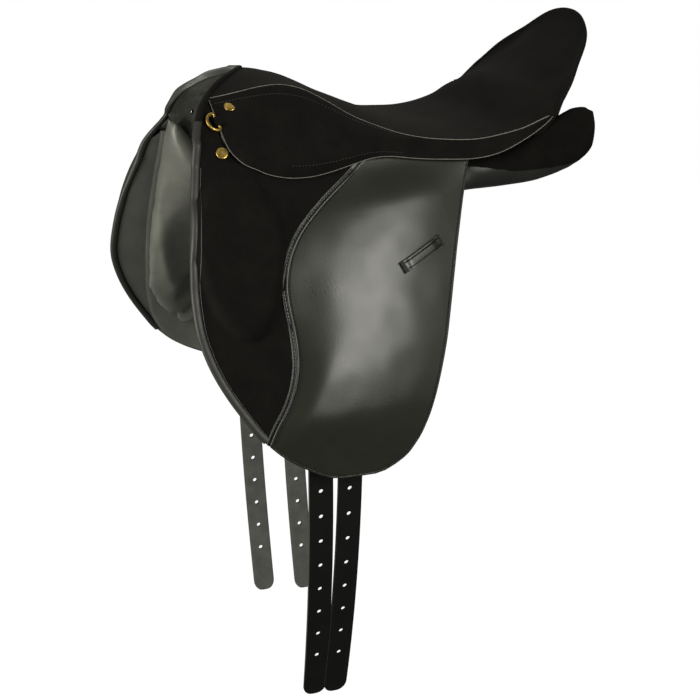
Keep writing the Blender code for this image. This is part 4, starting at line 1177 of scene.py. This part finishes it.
def cantleWood():
    # Laminated arc inside the cantle
    look = cantleLook
    path = []
    for i in range(61):
        a = -0.5 + i / 60
        across, along = math.sin(a * math.pi / 2), math.cos(a * math.pi / 2)
        inward = Vector((-1.5 * along, -across, 0)).normalized() * look["woodIn"]
        path.append(seatPoint(1, a) + inward + Vector((0, 0, -0.030)))
    obj = tube("cantle_wood", path, look["wood"], material=wood)
    settle(obj, "saddle", "wood", "tree_cantle")


headFacing()
cantleWall()
cantleWood()
print("head and cantle made")


# Sweat flaps

sweatLook = {"leather": 2.5 * mm}


def nearShift(z, side):
    # On the near side the sweat flap's lower corner stays behind the flap
    return 24 * ease((-110 - z) / 80) if side < 0 else 0


def sweatFlap(name, side):
    lowest = sweatRows[0][0]

    def pointOf(u, v):
        z = lowest + (creaseZ - lowest) * (0.3 * v * v + 0.7 * v)
        front, rear = sweatOutline(z)
        front += nearShift(z, side)
        x = front + (rear - front) * u
        point = sidePoint(x, sweatOuter(x, z), z, side)
        return point + Vector((0, side * 0.0003, 0)) * uneven(point, 0.03, 13)

    obj = cutPiece("under_flap_" + name, 40, 60, pointOf, (0, side, 0.3),
                   sweatLook["leather"], leatherHide)
    settle(obj, "saddle", "leather", "sweat_flap_" + name)


for name, side in sides:
    sweatFlap(name, side)


# Panels, stuffed with wool

panelLook = {"lining": 9.0, "kneeRoll": 20.0, "levels": 3, "voxel": 5 * mm, "pressure": 4.0, "cap": 5 * mm,
             "shrink": 2.5 * mm, "frames": 20}


def panelLoop(x):
    # Half width and height round the section, from the channel outwards
    channel, top, shoulder, shoulderZ, bearing, low = panelLine(x)
    rear = clamp((x - 40) / 20)
    lining = panelLook["lining"] + (panelLook["kneeRoll"] - panelLook["lining"]) * clamp((-170 - x) / 26)

    def against(z):
        return sweatOuter(x, z) - 2.5 - 1.2

    z1, z2 = shoulderZ + (low - shoulderZ) * 0.3, shoulderZ + (low - shoulderZ) * 0.65
    z3 = bearing + (low - bearing) * 0.28
    hanging = [(against(z1), z1), (against(z2), z2), (against(low), low),
               (against(low) - lining * 0.7, low + 2), (against(z2) - lining, z2), (against(z3) - lining * 1.2, z3)]
    resting = [(shoulder + 3.5, z1), (shoulder + 3, z2), (shoulder - 1, low),
               (shoulder - 9, low + (bearing - low) * 0.45), (shoulder - 17, low + (bearing - low) * 0.75),
               (shoulder - 26, bearing + 1)]
    blended = [(a[0] + (b[0] - a[0]) * rear, a[1] + (b[1] - a[1]) * rear) for a, b in zip(hanging, resting)]
    middle = channel + (shoulder - channel) * 0.45
    tucked = min(shoulder, against(shoulderZ))
    corner = (tucked + (shoulder - tucked) * rear, shoulderZ)
    return ([(channel, top), (middle, top + (shoulderZ - top) * 0.35 + 1), corner] + blended
            + [(middle, bearing), (channel + 1, bearing + (top - bearing) * 0.35)])


def panelSpine(x, z):
    # Middle of the pad's thickness at a height
    section = panelLoop(x)
    block = (section[0][0] + section[2][0]) / 2
    if x > 40:
        return sum(half for half, _ in section) / len(section)
    hanging = section[4][0] - panelLook["lining"] * 0.55 + sweatOuter(x, z) - sweatOuter(x, section[4][1])
    share = ease((z - section[9][1] + 15) / 30)
    return hanging + (block - hanging) * share


def panelRing(station, side):
    # A loop of points at a station; past the ends the loop draws in to close the pad
    rows = panelRows
    if 0 <= station < len(rows):
        x, draw, push = rows[station][0], 1.0, 0.0
    else:
        step = -station if station < 0 else station - len(rows) + 1
        x = rows[0][0] if station < 0 else rows[-1][0]
        draw = (1.0, 0.80, 0.45, 0.0)[step]
        push = (0, 3.5, 6.0, 6.5)[step] * (-0.6 if station < 0 else 1.0)
    bend = clamp((-130 - x) / 76)
    section = panelLoop(x)
    top, bottom = section[0][1], section[5][1]
    points = []
    for half, z in section:
        spine = panelSpine(x, z)
        kept = 1 - 0.06 * (1 - draw) if x < 0 else draw
        z = (top + bottom) / 2 + (z - (top + bottom) / 2) * kept
        half = panelSpine(x, z) + (half - spine) * draw
        points.append(at(x + (sweatOutline(z)[0] - 2 - rows[0][0]) * bend + push, side * half, z))
    return points


def panelCage(name, side):
    first, last = -3, len(panelRows) + 2
    rings = [panelRing(station, side) for station in range(first, last + 1)]
    count = len(rings[0])

    def pointOf(u, v):
        return rings[int(round(v * (last - first)))][int(round(u * count)) % count]

    obj = warpedGrid(name, count, last - first, pointOf)
    closeUp(obj)
    return obj


def inflate(obj, look):
    # A closed pad swells like cloth over stuffing, as far as the cap lets it
    remesh = obj.modifiers.new("voxels", "REMESH")
    remesh.mode = "VOXEL"
    remesh.voxel_size = look["voxel"]
    applyModifier(obj, remesh)
    rest = np.array([v.co for v in obj.data.vertices], float)
    cloth = obj.modifiers.new("cloth", "CLOTH")
    hide = cloth.settings
    hide.use_pressure, hide.uniform_pressure_force = True, look["pressure"]
    hide.effector_weights.gravity = 0
    hide.quality, hide.mass = 5, 0.3
    hide.tension_stiffness = hide.compression_stiffness = 20
    hide.bending_stiffness = 0.6
    cloth.point_cache.frame_start, cloth.point_cache.frame_end = 1, look["frames"]
    for step in range(1, look["frames"] + 1):
        bpy.context.scene.frame_set(step)
    applyModifier(obj, cloth)
    bpy.context.scene.frame_set(1)
    shift = np.array([v.co for v in obj.data.vertices], float) - rest
    far = np.linalg.norm(shift, axis=1)
    shift *= np.minimum(1, look["cap"] / np.maximum(far, 1e-9))[:, None]
    obj.data.vertices.foreach_set("co", (rest + shift).astype(np.float32).ravel())
    obj.data.update()


def panel():
    look = panelLook
    obj = panelCage("panel_pad_left", -1)
    soft = obj.modifiers.new("soft", "SUBSURF")
    soft.levels = soft.render_levels = look["levels"]
    applyModifier(obj, soft)
    for vertex, normal in [(v, v.normal.copy()) for v in obj.data.vertices]:
        vertex.co -= normal * look["shrink"]
    inflate(obj, look)
    relax = obj.modifiers.new("relax", "SMOOTH")
    relax.factor, relax.iterations = 0.5, 3
    applyModifier(obj, relax)
    fine = obj.modifiers.new("fine", "SUBSURF")
    fine.levels = fine.render_levels = 1
    applyModifier(obj, fine)
    obj.data.shade_smooth()
    return obj


# Seam between the suede side and the smooth underside of the rear panel: x and z
panelSeamRows = [(-60, 30), (20, 32), (40, 35), (55, 36), (78, 33), (104, 29), (126, 29), (170, 30), (205, 34)]
panelSeam = smooth(panelSeamRows)


def addPanels():
    # The far pad is the near one mirrored, before the near one's front corner moves back
    left = panel()
    right = left.copy()
    right.data = left.data.copy()
    right.name = "panel_pad_right"
    bpy.context.scene.collection.objects.link(right)
    right.data.transform(Matrix.Diagonal((1, -1, 1, 1)))
    right.data.flip_normals()
    for vertex in left.data.vertices:
        if vertex.co.x < -0.1:
            vertex.co.x += nearShift(vertex.co.z / mm, -1) * mm * clamp((-0.1 - vertex.co.x) / 0.06)
    for obj, (name, side) in zip((left, right), sides):
        mask = obj.data.attributes.new("suedeShare", "FLOAT", "POINT")
        values = []
        for vertex in obj.data.vertices:
            x, y, z = vertex.co / mm
            above = (z - panelSeam(x)[0]) * 0.5 if x > -70 else -1
            out = (abs(y) - 62 - (z - 60) * 0.2) * 0.5
            values.append(clamp(min(above, out, (x + 60) * 0.5) + 0.5))
        mask.data.foreach_set("value", values)
        dress(obj, panelMaterial)
        settle(obj, "saddle", "panel", "panel_" + name)


def panelMaterialMade():
    # Calf leather below, suede on the side above the seam, chosen by the pad's own mask
    material, tree, bsdf, place = startMaterial("panelCalfAndSuede", {"Specular IOR Level": 0.5, "IOR": 1.5})
    mask = addNode(tree, "ShaderNodeAttribute", attribute_name="suedeShare").outputs["Fac"]
    sharp = ranged(tree, mask, 0.42, 0.58, 0, 1)
    clouds = noiseAt(tree, place, 26, 4, 0.55)
    share = ranged(tree, clouds, 0.3, 0.7, 0, 1)
    # The smooth calf is painted much paler towards the pads' front than at the rear: painted light on the fronts,
    # which the lamps hardly reach
    ahead = addNode(tree, "ShaderNodeSeparateXYZ", links={"Vector": place}).outputs["X"]
    paintedLightFront = ranged(tree, ahead, -0.10, 0.02, 1, 0)
    smoothSide = mixInputs(tree, paintedLightFront, mixInputs(tree, share, "#1a1b19", "#232421"),
                           mixInputs(tree, share, "#555650", "#62635c"))
    suedeSide = mixInputs(tree, share, suedeLook["deep"], suedeLook["raised"])
    tree.links.new(mixInputs(tree, sharp, smoothSide, suedeSide), bsdf.inputs["Base Color"])
    tree.links.new(ranged(tree, sharp, 0, 1, 0.5, 0.06), bsdf.inputs["Specular IOR Level"])
    shine = ranged(tree, clouds, 0.3, 0.7, 0.46, 0.38)
    rough = addNode(tree, "ShaderNodeMix", data_type="FLOAT")
    tree.links.new(sharp, rough.inputs[0])
    tree.links.new(shine, rough.inputs[2])
    rough.inputs[3].default_value = 0.92
    tree.links.new(rough.outputs[0], bsdf.inputs["Roughness"])
    grain = addNode(tree, "ShaderNodeTexVoronoi", {"Scale": perMetre(1.5)}, {"Vector": place}).outputs["Distance"]
    bumped(tree, bsdf, grain, 0.1, 0.5)
    return material


panelMaterial = panelMaterialMade()
addPanels()
print("panels made")


# Gullet lining

def gulletLining():
    front, rear = -160, 178

    def pointOf(u, v):
        x = front + (rear - front) * v
        channel, top = panelLine(x)[:2]
        across = u * 2 - 1
        point = at(x, across * (channel + 7), top + 3.8)
        return point + Vector((0, 0, 0.0012)) * uneven(point, 0.02, 17) * (1 - across**4)

    obj = cutPiece("gullet_leather", 20, 80, pointOf, (0, 0, 1), 1.2 * mm,
                   (facingLeather, facingLeather, leatherEdge), 0)
    settle(obj, "saddle", "lining", "gullet_lining")


gulletLining()
print("gullet lining made")


# Girth straps

strapLook = {"width": 25.0, "thick": 3.5, "hole": 5.0, "pitch": 28.0, "holes": 8, "firstHole": 53.0,
             "rounding": 12.0, "foldZ": -229.0, "curl": 36.0, "top": 45.6}
strapRows = {  # name: hung at x, fold at x, tip at x, tip z
    "front_left": (-118, -131, -128, -509), "rear_left": (-78, -100, -105.5, -510),
    "front_right": (-118, -107, -101, -526), "rear_right": (-78, -54.5, -49.5, -532)}


def strapMiddle(key, down):
    # Centre of the strap at a distance below its top, and its lean
    look = strapLook
    xTop, xFold, xTip, zTip = strapRows[key]
    upper = look["top"] - look["foldZ"]
    if down <= upper:
        z = look["top"] - down
        x = xTop + (xFold - xTop) * down / upper
        return x, sweatOuter(x, z) + 0.8 + look["thick"] / 2, z
    length = look["foldZ"] - zTip
    share = (down - upper) / length
    base = sweatOuter(xFold, look["foldZ"]) + 0.8 + look["thick"] / 2
    return xFold + (xTip - xFold) * share, base - look["curl"] * share**2, look["foldZ"] - (down - upper)


def girthStrap(key):
    look, side = strapLook, (-1 if key.endswith("left") else 1)
    total = look["top"] - strapRows[key][3]

    def pointOf(u, v):
        down = total * (1 - (1 - v)**1.35)
        x, half, z = strapMiddle(key, down)
        fromTip, width = total - down, look["width"]
        if fromTip < look["rounding"]:
            width *= 0.18 + 0.82 * math.sqrt(clamp(1 - (1 - fromTip / look["rounding"])**2))
        ahead = strapMiddle(key, min(down + 1, total))
        behind = strapMiddle(key, max(down - 1, 0))
        run = Vector((0, side * (ahead[1] - behind[1]), ahead[2] - behind[2])).normalized()
        out = Vector((0, -run.z, run.y)) * side
        across = (u * 2 - 1) * width / 2
        if out.y * side < 0:
            out = -out
        return sidePoint(x + across, half, z, side) + out * look["thick"] / 2 * mm

    obj = warpedGrid("strap_" + key, 8, 150, pointOf, (0, side, 0))
    thicken(obj, look["thick"] * mm, 0.7 * mm)
    cutters = []
    for i in range(look["holes"]):
        down = total - look["firstHole"] - i * look["pitch"]
        x, half, z = strapMiddle(key, down)
        deselectAll()
        bpy.ops.mesh.primitive_cylinder_add(vertices=20, radius=look["hole"] / 2 * mm, depth=0.03,
                                            location=sidePoint(x, half, z, side),
                                            rotation=(math.pi / 2, 0, 0))
        cutters.append(bpy.context.object)
    cutter = joined("punch", cutters)
    makeActive(cutter)
    bpy.ops.object.transform_apply(location=True, rotation=True, scale=True)
    holes = obj.modifiers.new("holes", "BOOLEAN")
    holes.object = cutter
    holes.solver = "EXACT"
    applyModifier(obj, holes)
    bpy.data.objects.remove(cutter)
    smoothShade(obj, 45)
    dress(obj, strapLeather, strapBack, strapEdge)
    x, half, z = strapMiddle(key, look["top"] - look["foldZ"])
    sidePoint(x, half, look["foldZ"] + 4.5, side)
    sidePoint(x, half, look["foldZ"] - 4.5, side)
    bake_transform(obj)
    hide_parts("girth_strap_upper_" + key, "girth_strap_" + key)


for key in strapRows:
    girthStrap(key)
print("straps made")


# D-rings, their chapes and the nails

ringLook = {"wire": 1.8, "length": 21.0, "reach": 14.5, "middle": (-201.0, 78.6, 94), "leather": 1.2,
            "tail": 11.5, "width": 9.0}


def ringPlace(side):
    x = Vector((-0.90, side * 0.40, -0.06)).normalized()
    z = x.cross(Vector((0.10, side * 0.62, -0.78))).normalized()
    y = z.cross(x)
    mx, my, mz = ringLook["middle"]
    return Matrix.Translation(sidePoint(mx, my, mz, side)) @ Matrix((x, y, z)).transposed().to_4x4()


def dRing(name, side):
    look, place = ringLook, ringPlace(side)
    half, reach = look["length"] / 2 - look["wire"], look["reach"] - 2 * look["wire"]
    points = [(0, half * (-0.85 + 1.7 * i / 8), 0) for i in range(9)]
    for i in range(25):
        angle = math.pi / 2 - math.pi * i / 24
        points.append((1.6 + (reach - 1.6) * math.cos(angle)**0.85 if i not in (0, 24) else 1.2,
                       half * math.sin(angle), 0))
    ring = tube("ring_" + name, [place @ (Vector(p) * mm) for p in points], look["wire"] * mm, True, 4, brass)
    settle(ring, "ring_" + name, "brass", "d_ring_" + name)
    wall = look["wire"] + 0.3 + look["leather"] / 2
    fold = [(-look["tail"], 0.75)] + [(-look["tail"] * (1 - i / 4), 0.75 + (wall - 0.75) * ease(i / 4))
                                      for i in range(1, 4)]
    fold += [(wall * math.sin(a), wall * math.cos(a)) for a in np.linspace(0, math.pi, 13)]
    fold += [(x, -z) for x, z in fold[3::-1]]
    path = evenly([place @ at(x, 0, z * side) for x, z in fold], 40)
    t = look["leather"] / 2 * mm
    profile = [(-1, -t), (-1.0, t), (-0.9, t * 1.1), (0.9, t * 1.1), (1.0, t), (1, -t)]
    middle = place @ at(-1, 0, 0)
    chape = strapAlong("ring_chape_" + name, path, lambda p, v: (p - middle).normalized() + place.to_3x3() @ Vector(
        (0, 0, 0.001)), lambda v: look["width"] / 2 * mm, profile, suede)
    settle(chape, "saddle", "leather", "d_ring_chape_" + name)


nailLook = {"radius": 5.9, "dome": 1.5}


def ball(name, segments):
    deselectAll()
    bpy.ops.mesh.primitive_uv_sphere_add(segments=segments, ring_count=segments // 2, radius=1)
    obj = bpy.context.object
    obj.name = obj.data.name = name
    return obj


def driveIn(obj, spot, out, material, slot):
    turn = Vector((0, 0, 1)).rotation_difference(Vector(out)).to_matrix().to_4x4()
    obj.data.transform(Matrix.Translation(spot) @ turn)
    obj.data.shade_smooth()
    dress(obj, material)
    settle(obj, "saddle", slot)


def nail(name, spot, out):
    look, obj = nailLook, ball(name, 36)
    for vertex in obj.data.vertices:
        x, y, z = vertex.co
        z = z**0.5 if z > 0 else z * 0.15
        dent = 1 + 0.12 * noise.noise(Vector((x * 1.7, y * 1.7, spot[2] * 300)))
        vertex.co = Vector((x * look["radius"], y * look["radius"], z * look["dome"] * dent)) * mm
    driveIn(obj, spot, out, brass, "brass")
    return obj


def addNails(name, side):
    low = nail("flap_nail_head_" + name, sidePoint(-203, 101, 68, side), (-0.1, side * 0.8, 0.58))
    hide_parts("flap_nail_" + name)
    x, front = -188, -205
    share = (x - front) / (skirtCrease[1].x - front)
    out = Vector((0, side * 0.80, 0.60))
    spot = skirtTop(x, side).lerp(creasePoint(share, side), 0.42)
    high = nail("skirt_nail_head_" + name, spot + out * 0.0024, (-0.12, side * 0.62, 0.78))
    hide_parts("skirt_nail_" + name)


def headStud():
    # Small rivet of burnished nickel in the far side of the head's lining
    obj = ball("head_stud", 24)
    obj.data.transform(Matrix.Diagonal((2.8 * mm, 2.8 * mm, 1.5 * mm, 1)))
    driveIn(obj, at(-197.5, 56, 82), (-1, -0.45, 0.1), gunMetal, "steel")


headStud()
for name, side in sides:
    dRing(name, side)
    addNails(name, side)
print("metalwork made")


# The far side of the head stands further back and closer in than the near side: height, then the shift

farHeadRows = [
    (38, 0, 0, 0), (41, 0.4, 0, 0), (57, 7.5, -3, 1), (70, 15, -6, -1), (76.5, 17.8, -7, -1.8), (82, 16.8, -8, -1.6),
    (96.5, 13.6, -8, -2.5), (106, 11, -7, -1.8), (114.5, 10, -4, -2.5), (124, 6.6, -1, -3.4), (129, 2.9, 0, -2.8),
    (133, 0, 0, -2)]
farHead = smooth(farHeadRows)
drawnBack = ["seat_suede", "seat_padding", "head_facing", "head_stud", "skirt_right", "skirt_seam_edge_right",
             "skirt_cut_edge_right", "skirt_upper_stitches_right", "flap_back_right", "flap_front_right",
             "top_strip_right", "flap_binding_right_roll", "binding_bead_right", "flap_nail_head_right",
             "skirt_nail_head_right"]
movedWhole = {"ring_right": (6.4, 1.4, -6.3), "ring_chape_right": (6.4, 1.4, -6.3)}     # they keep their shape
frontAt = smooth([(z, x) for half, x, z in headRows] + [(57, -232), (41, -235), (30, -237)])


def drawBack(obj):
    # Full at the front edge, none at this reach behind it or at the middle of the head
    reach, middle = 45, 25
    for vertex in obj.data.vertices:
        x, y, z = vertex.co / mm
        if y > 0 and x < -120 and farHeadRows[0][0] < z < farHeadRows[-1][0]:
            share = ease(y / middle) * ease(1 - (x - frontAt(z)[0]) / reach)
            vertex.co += Vector(farHead(z)) * share * mm


for obj in bpy.context.scene.objects:
    if obj.type == "MESH" and obj.name in drawnBack:
        drawBack(obj)
    if obj.name in movedWhole:
        obj.data.transform(Matrix.Translation(at(*movedWhole[obj.name])))
print("far side of the head drawn back")


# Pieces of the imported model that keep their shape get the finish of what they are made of

for node, material in {"tree_head": wood, "tree_rail_left": wood, "tree_rail_right": wood,
                       "gullet_plate": steel, "seat_web": webbing, "girth_web_front": webbing,
                       "girth_web_rear": webbing, "stirrup_bar_left": steel,
                       "stirrup_bar_right": steel, "thumb_latch_left": steel, "thumb_latch_right": steel}.items():
    for slot in frame["nodes"][node].material_slots:
        slot.material = material

print("packed pieces finished")
